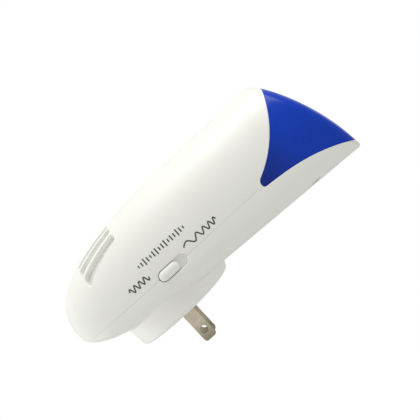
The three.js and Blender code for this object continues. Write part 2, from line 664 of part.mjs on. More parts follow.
// The knob in the slot, on a shutter plate that keeps the slot closed as it slides.
function knob() {
  const topX = sideX(knobCentreZ) + KNOB_PROUD;
  const shape = slotShape(SEAM_Y, knobCentreZ, KNOB_WIDTH, KNOB_LENGTH);
  const bevel = KNOB_PROUD / 2;
  const narrow = slotShape(SEAM_Y, knobCentreZ, KNOB_WIDTH - 2 * bevel, KNOB_LENGTH - 2 * bevel);
  const grip = solid(slabAlongX(shape, shutterInnerX, topX - bevel));
  const crest = solid(slabAlongX(narrow, shutterInnerX, topX));
  const shutter = block(
    [shutterInnerX, SEAM_Y - SHUTTER_WIDTH / 2, shutterLowZ],
    [shutterOuterX, SEAM_Y + SHUTTER_WIDTH / 2, shutterHighZ],
  );
  const half = STEM_SIZE / 2 + FIT_GAP;
  const socket = block(
    [shutterInnerX - WALL, SEAM_Y - half, knobCentreZ - half],
    [shutterOuterX + STEM_ENGAGEMENT + FIT_GAP, SEAM_Y + half, knobCentreZ + half],
  );
  return grip.add(crest).add(shutter).subtract(socket);
}

// The plated can of the switch, open at its back, with a window for the stem.
function switchCan() {
  const half = SWITCH_CAN_WIDTH / 2;
  const thin = SWITCH_CAN_WALL;
  const stem = STEM_SIZE / 2 + FIT_GAP;
  const can = block(
    [canInnerX, SEAM_Y - half, SLOT_CENTRE_Z - canHalfLength],
    [canOuterX, SEAM_Y + half, SLOT_CENTRE_Z + canHalfLength],
  );
  const room = block(
    [canInnerX - WALL, SEAM_Y - half + thin, SLOT_CENTRE_Z - canHalfLength + thin],
    [canOuterX - thin, SEAM_Y + half - thin, SLOT_CENTRE_Z + canHalfLength - thin],
  );
  const reach = knobTravel / 2 + stem;
  const window = block(
    [canOuterX - WALL, SEAM_Y - stem, SLOT_CENTRE_Z - reach],
    [canOuterX + WALL, SEAM_Y + stem, SLOT_CENTRE_Z + reach],
  );
  return can.subtract(room).subtract(window);
}

// The sliding block inside the can, with the stem that carries the knob.
function actuator() {
  const half = SWITCH_CAN_WIDTH / 2 - SWITCH_CAN_WALL - FIT_GAP;
  const stem = STEM_SIZE / 2;
  const slider = block(
    [blockInnerX, SEAM_Y - half, knobCentreZ - ACTUATOR_LENGTH / 2],
    [blockOuterX, SEAM_Y + half, knobCentreZ + ACTUATOR_LENGTH / 2],
  );
  const post = block(
    [blockInnerX, SEAM_Y - stem, knobCentreZ - stem],
    [shutterOuterX + STEM_ENGAGEMENT, SEAM_Y + stem, knobCentreZ + stem],
  );
  return slider.add(post);
}

// The leaf contact under the sliding block, bowed along its length.
function contactLeaf() {
  const half = ACTUATOR_LENGTH / 2 - FIT_GAP;
  const thin = SWITCH_CAN_WALL;
  const shape = new THREE.Shape();
  shape.moveTo(-thin, -half);
  shape.quadraticCurveTo(thin, 0, -thin, half);
  shape.lineTo(0, half);
  shape.quadraticCurveTo(2 * thin, 0, 0, -half);
  shape.closePath();
  const options = { depth: STEM_SIZE, bevelEnabled: false, curveSegments: 5 };
  const turn = new THREE.Matrix4().makeBasis(
    new THREE.Vector3(1, 0, 0),
    new THREE.Vector3(0, 0, 1),
    new THREE.Vector3(0, -1, 0),
  );
  return new THREE.ExtrudeGeometry(shape, options).translate(0, 0, -STEM_SIZE / 2).applyMatrix4(turn);
}

// A terminal pin that runs from the switch's base to the board.
function terminalPin() {
  const lowY = SEAM_Y - TERMINAL_WIDTH;
  const bentY = lowY + TERMINAL_THICKNESS;
  const highY = BOARD_FRONT_Y - FIT_GAP;
  const shape = new THREE.Shape();
  shape.moveTo(0, lowY);
  shape.lineTo(0, bentY);
  shape.lineTo(TERMINAL_THICKNESS - TERMINAL_BEND, bentY);
  shape.lineTo(TERMINAL_THICKNESS - TERMINAL_BEND, highY);
  shape.lineTo(-TERMINAL_BEND, highY);
  shape.lineTo(-TERMINAL_BEND, lowY);
  shape.closePath();
  const options = { depth: TERMINAL_WIDTH, bevelEnabled: false };
  return new THREE.ExtrudeGeometry(shape, options).translate(0, 0, -TERMINAL_WIDTH / 2);
}

// ---- Speaker and vents ---------------------------------------------------------------------

// Cloth mesh that follows the inside of the wall behind the vents.
function dustMesh() {
  const outside = housingForm(WALL + FIT_GAP, 44, 22, 1, 2);
  const inside = housingForm(WALL + FIT_GAP + MESH_THICKNESS, 44, 22, 1, 2);
  const half = (VENT_COUNT - 1) * VENT_PITCH / 2 + VENT_WIDTH / 2 + MESH_MARGIN;
  const middleZ = (VENT_TOP_Z + VENT_BOTTOM_Z) / 2;
  const height = VENT_TOP_Z - VENT_BOTTOM_Z + 2 * MESH_MARGIN;
  const patch = roundedShape(0, middleZ, 2 * half, height, MESH_MARGIN);
  const zone = solid(slabAlongY(patch, 2 * FRONT_Y, speakerBackY, 3));
  let mesh = outside.subtract(inside).intersect(zone);
  for (const screw of SPEAKER_SCREWS) {
    mesh = mesh.subtract(bar(POST_RADIUS + FIT_GAP, screw.x, screw.z, 2 * FRONT_Y, 0, 14));
  }
  return mesh;
}

// Stamped basket of the speaker with two ears, centred on its own axis, front face at y = 0.
function speakerBasket() {
  const [radius, depth, sheet] = [SPEAKER_RADIUS, SPEAKER_DEPTH, SPEAKER_SHEET];
  const inner = radius - SPEAKER_RIM_WIDTH;
  const back = PIEZO_RADIUS + sheet;
  const rim = SPEAKER_EAR_THICKNESS;
  const points = [[radius, 0], [inner, 0], [inner - sheet, sheet], [back - sheet, depth - 3 * sheet]];
  points.push([back - sheet, depth - sheet], [back / 2, depth - sheet], [back / 2, depth]);
  points.push([back, depth], [back, depth - 3 * sheet], [inner, rim], [radius, rim]);
  points.push([radius, 0]);
  points.reverse();
  const ears = slotShape(0, 0, 2 * SPEAKER_EAR_RADIUS, SPEAKER_EAR_PITCH + 2 * SPEAKER_EAR_RADIUS);
  const earBar = solid(slabAlongY(ears, depth - SPEAKER_EAR_THICKNESS, depth, 6));
  const opening = bar(inner - sheet, 0, 0, -WALL, depth - 3 * sheet, 24);
  const backHole = bar(back / 2, 0, 0, 0, 2 * depth, 20);
  let basket = turned(points, 28);
  const tray = bar(back - sheet, 0, 0, -WALL, depth - sheet, 20);
  basket = basket.add(earBar.subtract(tray).subtract(backHole).subtract(opening));
  for (const side of [-1, 1]) {
    const z = side * SPEAKER_EAR_PITCH / 2;
    basket = basket.subtract(bar(SCREW_HOLE_RADIUS, 0, z, 0, 2 * depth, 10));
  }
  return basket;
}

// Paper cone, open towards the vents.
function speakerCone() {
  const outer = SPEAKER_RADIUS - SPEAKER_RIM_WIDTH - SPEAKER_SHEET - 2 * FIT_GAP;
  const neck = PIEZO_RADIUS / 2;
  const depth = SPEAKER_DEPTH - 3 * SPEAKER_SHEET - PIEZO_THICKNESS;
  const thin = CONE_THICKNESS;
  const points = [[0, depth], [neck, depth], [outer, thin], [outer, 0], [outer - thin, 0]];
  points.push([neck, depth - 2 * thin], [0, depth - 2 * thin]);
  return turned(points.reverse(), 28);
}

// ---- Board and its pieces ------------------------------------------------------------------

function board() {
  const middleZ = (BOARD_TOP_Z + BOARD_BOTTOM_Z) / 2;
  const height = BOARD_TOP_Z - BOARD_BOTTOM_Z;
  const shape = roundedShape(0, middleZ, 2 * BOARD_HALF_WIDTH, height, BOARD_CORNER_RADIUS);
  let plate = solid(slabAlongY(shape, BOARD_FRONT_Y, BOARD_BACK_Y, 3));
  for (const screw of BOARD_SCREWS) {
    plate = plate.subtract(bar(SCREW_HOLE_RADIUS, screw.x, screw.z, -FAR, 0, 10));
  }
  return plate;
}

// A box component on the board's front, rounded in plan.
function boxComponent({ width, height, depth, edge }) {
  const shape = roundedShape(0, 0, width, height, edge);
  return slabAlongY(shape, -depth - FIT_GAP, -FIT_GAP, 3);
}

// A radial electrolytic capacitor with a rolled groove near its foot.
function canCapacitor({ radius, height }) {
  const groove = radius * 0.1;
  const foot = height * 0.15;
  const points = [[0, -height], [radius - groove, -height], [radius, groove - height]];
  points.push([radius, -foot - groove], [radius - groove, -foot], [radius, groove - foot]);
  points.push([radius, 0], [0, 0]);
  return shown(turned(points, 20).translate([0, -FIT_GAP, 0]));
}

// A dual-in-line chip with four legs a side.
function chip({ length, width, height }) {
  const legs = 4;
  const pitch = length / legs;
  let body = block([-width / 2, -height, -length / 2], [width / 2, -height / 3, length / 2]);
  for (let i = 0; i < legs; i += 1) {
    const z = (i - (legs - 1) / 2) * pitch;
    for (const side of [-1, 1]) {
      const inner = side * (width / 2 - WALL / 4);
      const outer = side * (width / 2 + WALL / 4);
      const [x0, x1] = [Math.min(inner, outer), Math.max(inner, outer)];
      const leg = block([x0, -height * 0.6, z - pitch / 8], [x1, -FIT_GAP, z + pitch / 8]);
      body = body.add(leg);
    }
  }
  return shown(body);
}

// A small transistor with one flat side.
function transistor({ radius, height }) {
  const shape = new THREE.Shape();
  shape.absarc(0, 0, radius, -0.25 * Math.PI, 1.25 * Math.PI, false);
  shape.closePath();
  return slabAlongY(shape, -height - FIT_GAP, -FIT_GAP, 8);
}

// An axial resistor lying along Z, with its bent leads.
function axialResistor({ radius, length }) {
  const lead = radius / 3;
  const lift = radius + 2 * lead;
  const reach = length / 2 + 2 * lead;
  const points = [[0, -length / 2], [radius, -length / 2], [radius, -length / 4], [radius * 0.85, 0]];
  points.push([radius, length / 4], [radius, length / 2], [0, length / 2]);
  let body = solid(shown(turned(points, 14)).rotateX(Math.PI / 2).translate(0, -lift, 0));
  for (const side of [-1, 1]) {
    const [near, far] = [side * (length / 2 - lead), side * (reach + lead)];
    const [z0, z1] = [Math.min(near, far), Math.max(near, far)];
    body = body.add(block([-lead, -lift - lead, z0], [lead, lead - lift, z1]));
    const foot = [side * (reach - lead), side * (reach + lead)];
    const [f0, f1] = [Math.min(...foot), Math.max(...foot)];
    body = body.add(block([-lead, -lift - lead, f0], [lead, -FIT_GAP, f1]));
  }
  return shown(body);
}

// An E-core transformer: a wound bobbin between the two legs of its core.
function transformer({ width, height, depth }) {
  const core = block([-width / 2, -depth, -height / 2], [width / 2, -depth * 0.15, height / 2]);
  const gap = width * 0.06;
  const coil = shown(bar(height * 0.62, 0, 0, -depth * 0.85, -depth * 0.3, 18));
  const legs = core.subtract(block(
    [gap - width / 2, -depth * 0.88, -height],
    [width / 2 - gap, -depth * 0.27, height],
  ));
  const [half, flange] = [width * 0.46, height * 0.3];
  const bobbin = block([-half, -depth * 0.92, -flange], [half, -FIT_GAP, flange]);
  return shown(legs.add(solid(coil)).add(bobbin));
}

// A lamp of clear epoxy with a flange and two leads, standing along +Z on its leads.
function lamp() {
  const tube = LAMP_LENGTH - LAMP_RADIUS;
  const flange = LAMP_RADIUS + LAMP_FLANGE_PROUD;
  const points = [[0, 0], [flange, 0], [flange, LAMP_FLANGE_THICKNESS]];
  points.push([LAMP_RADIUS, LAMP_FLANGE_THICKNESS], [LAMP_RADIUS, tube]);
  for (let i = 1; i < 4; i += 1) {
    const turn = i * Math.PI / 8;
    points.push([LAMP_RADIUS * Math.cos(turn), tube + LAMP_RADIUS * Math.sin(turn)]);
  }
  points.push([0, LAMP_LENGTH]);
  let body = solid(shown(turned(points, 16)).rotateX(Math.PI / 2));
  for (const side of [-1, 1]) {
    const x = side * LAMP_RADIUS / 2;
    const half = WIRE_RADIUS / 2;
    body = body.add(block([x - half, -half, -LAMP_LEAD], [x + half, half, half]));
  }
  return shown(body);
}

// ---- Assembly --------------------------------------------------------------------------------

const repeller = new THREE.Group();

// Adds one named mesh to a group, at a place in that group.
function place(group, name, piece, material, position = [0, 0, 0]) {
  const geometry = piece.isBufferGeometry ? piece : shown(piece);
  const mesh = new THREE.Mesh(geometry, material());
  mesh.name = name;
  mesh.position.set(...position);
  group.add(mesh);
}

function addHousing() {
  const housing = new THREE.Group();
  place(housing, 'front_shell', frontShell(), WHITE_ABS);
  place(housing, 'rear_shell', rearShell(), WHITE_ABS);
  place(housing, 'night_light_lens', lens(), BLUE_LENS);
  place(housing, 'dust_mesh', dustMesh(), CLOTH);
  for (const spot of HOUSING_SCREWS) {
    const seatY = wellFloorY + FIT_GAP;
    place(housing, spot.name, screw(HOUSING_SCREW_LENGTH, -1), STEEL, [spot.x, seatY, spot.z]);
  }
  repeller.add(housing);
}

function addPlug() {
  const plug = new THREE.Group();
  const x = BLADE_SPACING / 2;
  place(plug, 'plug_blade_right', blade(), PLATED_BRASS, [x, 0, 0]);
  place(plug, 'plug_blade_left', blade(), PLATED_BRASS, [-x, 0, 0]);
  place(plug, 'blade_retainer', bladeRetainer(), GREY_PLASTIC);
  for (const spot of RETAINER_SCREWS) {
    const length = -retainerFrontY - BOSS_FACE_THICKNESS;
    const seatY = retainerFrontY - FIT_GAP;
    place(plug, spot.name, screw(length, 1), STEEL, [spot.x, seatY, spot.z]);
  }
  const [low, high] = [BLADE_WIDTH / 2 + 2 * FIT_GAP + WIRE_RADIUS, BLADE_WIDTH * MAINS_LEAD_RISE];
  const behindY = tangFrontY - BLADE_TAIL + WIRE_RADIUS;
  for (const [name, side, material] of [['live_lead', 1, BLACK_WIRE], ['neutral_lead', -1, RED_WIRE]]) {
    const across = MAINS_LEAD_SPREAD.map((spread) => side * x * spread);
    const route = [
      [across[0], behindY, low],
      [across[1], behindY, low * 2],
      [across[2], behindY, (low + high) / 2],
      [across[3], BOARD_BACK_Y + WIRE_RADIUS + 2 * FIT_GAP, high],
    ];
    place(plug, name, wire(route), material);
  }
  repeller.add(plug);
}

function addSwitch() {
  const fixed = new THREE.Group();
  const slider = new THREE.Group();
  const baseX = canInnerX - FIT_GAP;
  place(fixed, 'switch_can', switchCan(), STEEL);
  const half = SWITCH_CAN_WIDTH / 2;
  place(fixed, 'switch_base', block(
    [baseX - SWITCH_BASE_THICKNESS, SEAM_Y - half, SLOT_CENTRE_Z - canHalfLength],
    [baseX, SEAM_Y + half, SLOT_CENTRE_Z + canHalfLength],
  ), CERAMIC);
  for (let i = 0; i < TERMINAL_COUNT; i += 1) {
    const z = SLOT_CENTRE_Z + (i - (TERMINAL_COUNT - 1) / 2) * TERMINAL_PITCH;
    const x = baseX - SWITCH_BASE_THICKNESS - FIT_GAP;
    place(fixed, `switch_terminal_${i + 1}`, terminalPin(), PLATED_BRASS, [x, 0, z]);
  }
  place(slider, 'switch_knob', knob(), WHITE_ABS);
  place(slider, 'switch_actuator', actuator(), BLACK_PLASTIC);
  const leafX = blockInnerX - FIT_GAP - 2 * SWITCH_CAN_WALL;
  place(slider, 'switch_contact', contactLeaf(), PLATED_BRASS, [leafX, SEAM_Y, knobCentreZ]);
  repeller.add(fixed, slider);
}

function addSpeaker() {
  const speaker = new THREE.Group();
  speaker.position.set(0, speakerFrontY, SPEAKER_Z);
  place(speaker, 'speaker_basket', speakerBasket(), STEEL);
  place(speaker, 'speaker_cone', speakerCone(), CONE_PAPER, [0, FIT_GAP, 0]);
  const discY = SPEAKER_DEPTH - 3 * SPEAKER_SHEET + FIT_GAP;
  const disc = bar(PIEZO_RADIUS - 2 * FIT_GAP, 0, 0, discY, discY + PIEZO_THICKNESS, 20);
  place(speaker, 'piezo_disc', disc, PLATED_BRASS);
  for (const spot of SPEAKER_SCREWS) {
    const seat = [spot.x, SPEAKER_DEPTH + FIT_GAP, spot.z - SPEAKER_Z];
    place(speaker, spot.name, screw(SMALL_SCREW_LENGTH, -1), STEEL, seat);
  }
  repeller.add(speaker);
  const startY = speakerBackY + WIRE_RADIUS + FIT_GAP;
  const endY = BOARD_FRONT_Y - WIRE_RADIUS - FIT_GAP;
  const leads = [['speaker_lead_1', 1, RED_WIRE], ['speaker_lead_2', -1, BLACK_WIRE]];
  for (const [name, side, material] of leads) {
    const depths = [startY, (startY + endY) / 2, endY];
    const route = depths.map((y, i) => (
      [side * PIEZO_RADIUS * SPEAKER_LEAD_SPREAD[i], y, SPEAKER_Z + SPEAKER_LEAD_RISE[i]]
    ));
    place(repeller, name, wire(route), material);
  }
}

function addBoard() {
  place(repeller, 'main_board', board(), BOARD_GREEN);
  for (const spot of BOARD_SCREWS) {
    const seat = [spot.x, BOARD_FRONT_Y - FIT_GAP, spot.z];
    place(repeller, spot.name, screw(SMALL_SCREW_LENGTH, 1), STEEL, seat);
  }
  const parts = new THREE.Group();
  parts.position.set(0, BOARD_FRONT_Y, 0);
  const down = (share) => BOARD_TOP_Z - (BOARD_TOP_Z - BOARD_BOTTOM_Z) * share;
  const right = (share) => BOARD_HALF_WIDTH * share;
  const spot = (piece, share = piece.right) => [right(share), 0, down(piece.down)];
  place(parts, 'output_transformer', transformer(TRANSFORMER), FILM_RED, spot(TRANSFORMER));
  place(parts, 'controller_chip', chip(CHIP), BLACK_PLASTIC, spot(CHIP));
  TRANSISTOR.rights.forEach((share, i) => {
    const name = `driver_transistor_${i + 1}`;
    place(parts, name, transistor(TRANSISTOR), BLACK_PLASTIC, spot(TRANSISTOR, share));
  });
  place(parts, 'dropper_capacitor', boxComponent(DROPPER), FILM_RED, spot(DROPPER));
  place(parts, 'smoothing_capacitor', canCapacitor(SMOOTHER), CAPACITOR_BLUE, spot(SMOOTHER));
  place(parts, 'timing_capacitor', boxComponent(TIMER), CERAMIC, spot(TIMER));
  place(parts, 'bridge_rectifier', boxComponent(RECTIFIER), BLACK_PLASTIC, spot(RECTIFIER));
  place(parts, 'fusible_resistor', axialResistor(RESISTOR), CERAMIC, spot(RESISTOR));
  repeller.add(parts);
  for (const [name, side] of [['night_lamp_right', 1], ['night_lamp_left', -1]]) {
    const lampY = BOARD_FRONT_Y - LAMP_RADIUS - LAMP_FLANGE_PROUD - FIT_GAP;
    const seat = [side * LAMP_PITCH / 2, lampY, BOARD_TOP_Z + LAMP_LEAD + FIT_GAP];
    place(repeller, name, lamp(), CLEAR_EPOXY, seat);
  }
}

addHousing();
addPlug();
addSwitch();
addSpeaker();
addBoard();

export default repeller;
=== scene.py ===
import functools
import math

import bmesh
import bpy
import numpy as np
from bpy.props import FloatProperty, FloatVectorProperty, PointerProperty
from bpy.types import Operator, Panel, PropertyGroup
from mathutils import Matrix, Vector
from mathutils.geometry import delaunay_2d_cdt


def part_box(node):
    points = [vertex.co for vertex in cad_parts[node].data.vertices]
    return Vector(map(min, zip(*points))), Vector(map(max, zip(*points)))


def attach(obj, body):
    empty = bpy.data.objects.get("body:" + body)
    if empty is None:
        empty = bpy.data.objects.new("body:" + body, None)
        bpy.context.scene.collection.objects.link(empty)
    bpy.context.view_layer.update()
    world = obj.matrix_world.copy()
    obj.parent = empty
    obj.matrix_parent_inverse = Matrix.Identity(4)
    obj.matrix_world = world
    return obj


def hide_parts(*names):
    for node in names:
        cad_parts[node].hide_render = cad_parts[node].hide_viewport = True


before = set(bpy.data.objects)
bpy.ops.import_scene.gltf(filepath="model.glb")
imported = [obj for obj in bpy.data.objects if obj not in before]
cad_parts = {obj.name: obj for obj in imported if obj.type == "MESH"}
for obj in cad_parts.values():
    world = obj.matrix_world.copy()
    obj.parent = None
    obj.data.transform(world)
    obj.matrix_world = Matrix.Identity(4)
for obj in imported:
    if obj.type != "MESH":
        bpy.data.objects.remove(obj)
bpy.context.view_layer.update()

bl_info = {
    "name": "Ultrasonic pest repeller",
    "version": (1, 0, 0),
    "blender": (4, 5, 0),
    "location": "3D View > Sidebar > Repeller",
    "description": "Builds the housing, lens, plug, switch and marks of a plug-in pest repeller",
    "category": "Object",
}

# Lengths are in millimetres until a mesh is made, and the frame is in metres.
MM = 0.001


def node_box(node):
    """Lowest and highest corners of a CAD node, in millimetres."""
    low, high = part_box(node)
    return low / MM, high / MM


FRONT_LOW, FRONT_HIGH = node_box("front_shell")
LENS_LOW, LENS_HIGH = node_box("night_light_lens")
KNOB_LOW, KNOB_HIGH = node_box("switch_knob")
CAN_LOW, CAN_HIGH = node_box("switch_can")
BLADE_LOW, BLADE_HIGH = node_box("plug_blade_right")
MESH_LOW, MESH_HIGH = node_box("dust_mesh")
SCREW_LOW, SCREW_HIGH = node_box("housing_screw_right")

# The shape laws of the housing, as the CAD has them.
SEAM_GAP = 0.3
FIT_GAP = 0.3
LENS_REAR_LIP = 3.8
BACK_LEAN = 3.7
LENS_FRONT_LIP = 4.2
LENS_TIP_DROP = 42.1
LENS_TIP_WIDTH = 4.3
LENS_TIP_LEAN = 0.8
NOSE_FROM_SEAM = 3.9
NOSE_SETTLE = 14
WIDTH_FULL_Z, WIDTH_POWER = 60, 2.7
FRONT_FULL_Z, FRONT_POWER = 50, 2.7
REAR_FULL_Z, REAR_POWER = 25, 2.05
FRONT_SQUARENESS, REAR_SQUARENESS = 2.25, 3.8
CROWN_RADIUS, CROWN_PEAK_Y, CROWN_SIDE_DROP = 96.3, 3.4, 2.2
CROWN_EDGE_FRONT, CROWN_EDGE_REAR = 3.5, 1
BOSS_RADIUS, BOSS_TOP_RISE = 24.5, 1.2
WALL = 2

HALF_WIDTH = FRONT_HIGH.x
FRONT_Y = FRONT_LOW.y
NOSE_Z = FRONT_LOW.z
SEAM_Y = FRONT_HIGH.y + SEAM_GAP / 2
BACK_TOP_Y = LENS_HIGH.y + LENS_REAR_LIP
BACK_Y = BACK_TOP_Y - BACK_LEAN
NOSE_Y = SEAM_Y - NOSE_FROM_SEAM
CROWN_FALL = CROWN_RADIUS - math.sqrt(CROWN_RADIUS ** 2 - (LENS_HIGH.y - CROWN_PEAK_Y) ** 2)
CROWN_TOP_Z = LENS_HIGH.z + CROWN_FALL

# Vents, slot and screw wells.
VENT_COUNT, VENT_PITCH, VENT_WIDTH = 8, 4.6, 3
MESH_MARGIN = 1.6
VENT_LOW_Z, VENT_HIGH_Z = MESH_LOW.z + MESH_MARGIN, MESH_HIGH.z - MESH_MARGIN
VENT_LAND, VENT_DEPTH = 1.9, 2.4
VENT_FIELD = VENT_COUNT * VENT_PITCH / 2
VENT_FIELD_SHARE = 0.853
SLOT_Z = (CAN_LOW.z + CAN_HIGH.z) / 2
SLOT_LENGTH, SLOT_WIDTH = 15.2, 5.4
SLOT_LAND = 3.6
KNOB_LENGTH, KNOB_WIDTH, KNOB_END_GAP = 10.4, 4.5, 0.4
SHUTTER_DEPTH, SHUTTER_THICKNESS = 1.45, 0.8
WELL_RADIUS = 3.2
BOSS_DRAFT = 1.2
WELL_LAND = 1.9

# Blades and screws, as the CAD has them.
BLADE_WIDTH, BLADE_TAIL, BLADE_TANG_DEPTH = 6.35, 5.4, 2.6
BLADE_TIP_RADIUS, BLADE_HOLE_Y, BLADE_HOLE_RADIUS = 1.5, 11.9, 1.7
SCREW_SHAFT_RADIUS, SCREW_HEAD_HEIGHT, THREAD_PITCH = 1.3, 1.7, 1.1


# ---- The skin of the housing -----------------------------------------------------------------

def lerp(a, b, share):
    """The value that lies a share of the way from a to b."""
    return a + (b - a) * share


def smooth_step(value, low, high):
    """0 below low, 1 above high, and a smooth rise between."""
    t = min(max((value - low) / (high - low), 0), 1)
    return t * t * (3 - 2 * t)


def swell(z, full_z, power):
    """Share of its full size that an outline has at height z."""
    below = max(0, (full_z - z) / (full_z - NOSE_Z))
    return max(0, 1 - below ** power) ** (1 / power)


def back_y(z):
    """The flat of the back at height z, which leans towards the wall above the boss."""
    share = min(max((z - REAR_FULL_Z) / (CROWN_TOP_Z - REAR_FULL_Z), 0), 1)
    return BACK_Y + BACK_LEAN * share


@functools.lru_cache(maxsize=None)
def section(z):
    """Half-width, front, rear and middle of the level section at height z."""
    settled = smooth_step(z, NOSE_Z, NOSE_Z + NOSE_SETTLE)
    return (
        HALF_WIDTH * swell(z, WIDTH_FULL_Z, WIDTH_POWER),
        NOSE_Y + (FRONT_Y - NOSE_Y) * swell(z, FRONT_FULL_Z, FRONT_POWER),
        NOSE_Y + (back_y(z) - NOSE_Y) * swell(z, REAR_FULL_Z, REAR_POWER),
        NOSE_Y + (SEAM_Y - NOSE_Y) * settled,
    )


def other_side(share, squareness):
    """The second coordinate of a unit superellipse, from the first."""
    return max(0, 1 - min(abs(share), 1) ** squareness) ** (1 / squareness)


def turn_from_x(x, z, rear):
    """The turn about Z at which the wall has this x, on the front or the rear half."""
    squareness = REAR_SQUARENESS if rear else FRONT_SQUARENESS
    across = min(abs(x) / max(section(z)[0], 1e-9), 1)
    turn = math.atan2(other_side(across, squareness), across)
    turn = turn if x >= 0 else math.pi - turn
    return turn if rear else -turn


def turn_from_y(y, z):
    """The turn at which the +X wall has this y, up to the middle of the back."""
    _, front, rear, middle = section(z)
    is_rear = y >= middle
    share = (y - middle) / max(rear - middle, 1e-9) if is_rear else (y - middle) / (middle - front)
    if share >= 1:
        return math.pi / 2
    squareness = REAR_SQUARENESS if is_rear else FRONT_SQUARENESS
    return math.atan2(share, other_side(share, squareness))


def wall_point(turn, z):
    """A point of the wall, for a turn about Z and a height."""
    half_width, front, rear, middle = section(z)
    cosine, sine = math.cos(turn), math.sin(turn)
    squareness = FRONT_SQUARENESS if sine < 0 else REAR_SQUARENESS
    reach = (abs(cosine) ** squareness + abs(sine) ** squareness) ** (-1 / squareness)
    depth = middle - front if sine < 0 else rear - middle
    return Vector((half_width * reach * cosine, middle + depth * reach * sine, z))


def crown_z(x, y):
    """Height of the crown over a point."""
    rise = math.sqrt(CROWN_RADIUS ** 2 - (y - CROWN_PEAK_Y) ** 2)
    return CROWN_TOP_Z - CROWN_RADIUS + rise - CROWN_SIDE_DROP * (x / HALF_WIDTH) ** 2


@functools.lru_cache(maxsize=None)
def rim(turn):
    """Where the wall meets the crown: point, shoulder height, distance to the centre and edge."""
    point = wall_point(turn, CROWN_TOP_Z)
    share = ((point.y - FRONT_Y) / (BACK_TOP_Y - FRONT_Y)) ** 2
    edge = lerp(CROWN_EDGE_FRONT, CROWN_EDGE_REAR, share)
    shoulder = crown_z(point.x, point.y) - edge
    return point, shoulder, math.hypot(point.x, point.y - (FRONT_Y + BACK_Y) / 2), edge


def skin_end(turn):
    """Length of the way up the wall, over the edge and in to the crown's centre."""
    _, shoulder, reach, edge = rim(turn)
    return shoulder + edge * (math.pi / 2 - 1) + reach


def skin_point(turn, way):
    """A point of the skin: way is the height on the wall and the path's length beyond it."""
    point, shoulder, reach, edge = rim(turn)
    if way <= shoulder:
        return wall_point(turn, way)
    around = min((way - shoulder) / edge, math.pi / 2)
    inward = max(way - shoulder - edge * math.pi / 2, 0)
    share = 1 - (edge * (1 - math.cos(around)) + inward) / reach
    centre_y = (FRONT_Y + BACK_Y) / 2
    x, y = point.x * share, centre_y + (point.y - centre_y) * share
    return Vector((x, y, crown_z(x, y) - edge * (1 - math.sin(around))))


def front_point(x, z):
    """The front wall over x and z."""
    return wall_point(turn_from_x(x, z, False), z)


def rear_point(x, z):
    """The rear wall over x and z."""
    return wall_point(turn_from_x(x, z, True), z)


def side_point(y, z):
    """The +X wall over y and z."""
    return wall_point(turn_from_y(y, z), z)


# ---- The lens's outline ----------------------------------------------------------------------

def bezier(points, steps):
    """Points along a quadratic or cubic curve, without its last one."""
    found = []
    for i in range(steps):
        row = [Vector(point) for point in points]
        while len(row) > 1:
            row = [a.lerp(b, i / steps) for a, b in zip(row, row[1:])]
        found.append(tuple(row[0]))
    return found


def lens_outline():
    """The lens's side outline in Y and Z, from the front edge round the tip to the rear edge."""
    front_y, rear_y = FRONT_Y + LENS_FRONT_LIP, BACK_TOP_Y - LENS_REAR_LIP
    tip_z = CROWN_TOP_Z - LENS_TIP_DROP
    tip_front = SEAM_Y - LENS_TIP_WIDTH / 2 - LENS_TIP_LEAN
    tip_rear = tip_front + LENS_TIP_WIDTH
    front_z, rear_z = crown_z(0, front_y), crown_z(0, rear_y)
    front = [
        (front_y, front_z),
        (lerp(front_y, tip_front, 0.72), lerp(front_z, tip_z, 0.36)),
        (tip_front, tip_z),
    ]
    tip = [
        (tip_front, tip_z),
        (tip_front + 0.18 * LENS_TIP_WIDTH, tip_z - 0.42 * LENS_TIP_WIDTH),
        (tip_rear - 0.04 * LENS_TIP_WIDTH, tip_z - 0.56 * LENS_TIP_WIDTH),
        (tip_rear, tip_z),
    ]
    rear = [
        (tip_rear, tip_z),
        (lerp(tip_rear, rear_y, 0.1), lerp(tip_z, rear_z, 0.61)),
        (rear_y, rear_z),
    ]
    curve = bezier(front, 30) + bezier(tip, 14) + bezier(rear, 30)
    high = 2 * CROWN_TOP_Z
    return np.array([(front_y, high), *curve, (rear_y, rear_z), (rear_y, high)])


LENS_LINE = lens_outline()


def lens_distance(point):
    """Distance of a point from the lens's outline, seen from the side. It is negative inside."""
    y, z = point.y, point.z
    start, end = LENS_LINE[:-1], LENS_LINE[1:]
    along = end - start
    away = np.array((y, z)) - start
    share = np.clip((away * along).sum(1) / (along ** 2).sum(1), 0, 1)
    gap = np.sqrt(((away - along * share[:, None]) ** 2).sum(1)).min()
    crossed = (start[:, 1] > z) != (end[:, 1] > z)
    at = start[:, 0] + along[:, 0] * (z - start[:, 1]) / np.where(along[:, 1] == 0, 1, along[:, 1])
    return -gap if np.sum(crossed & (at > y)) % 2 == 1 and FRONT_Y + LENS_FRONT_LIP < y else gap


@functools.lru_cache(maxsize=None)
def way_to_lens(turn, distance):
    """The way up the skin at which it is this distance outside the lens's outline."""
    low, high = FRONT_FULL_Z, skin_end(turn)
    for _ in range(24):
        middle = (low + high) / 2
        if lens_distance(skin_point(turn, middle)) > distance:
            low = middle
        else:
            high = middle
    return low


# ---- Mesh making -------------------------------------------------------------------------------

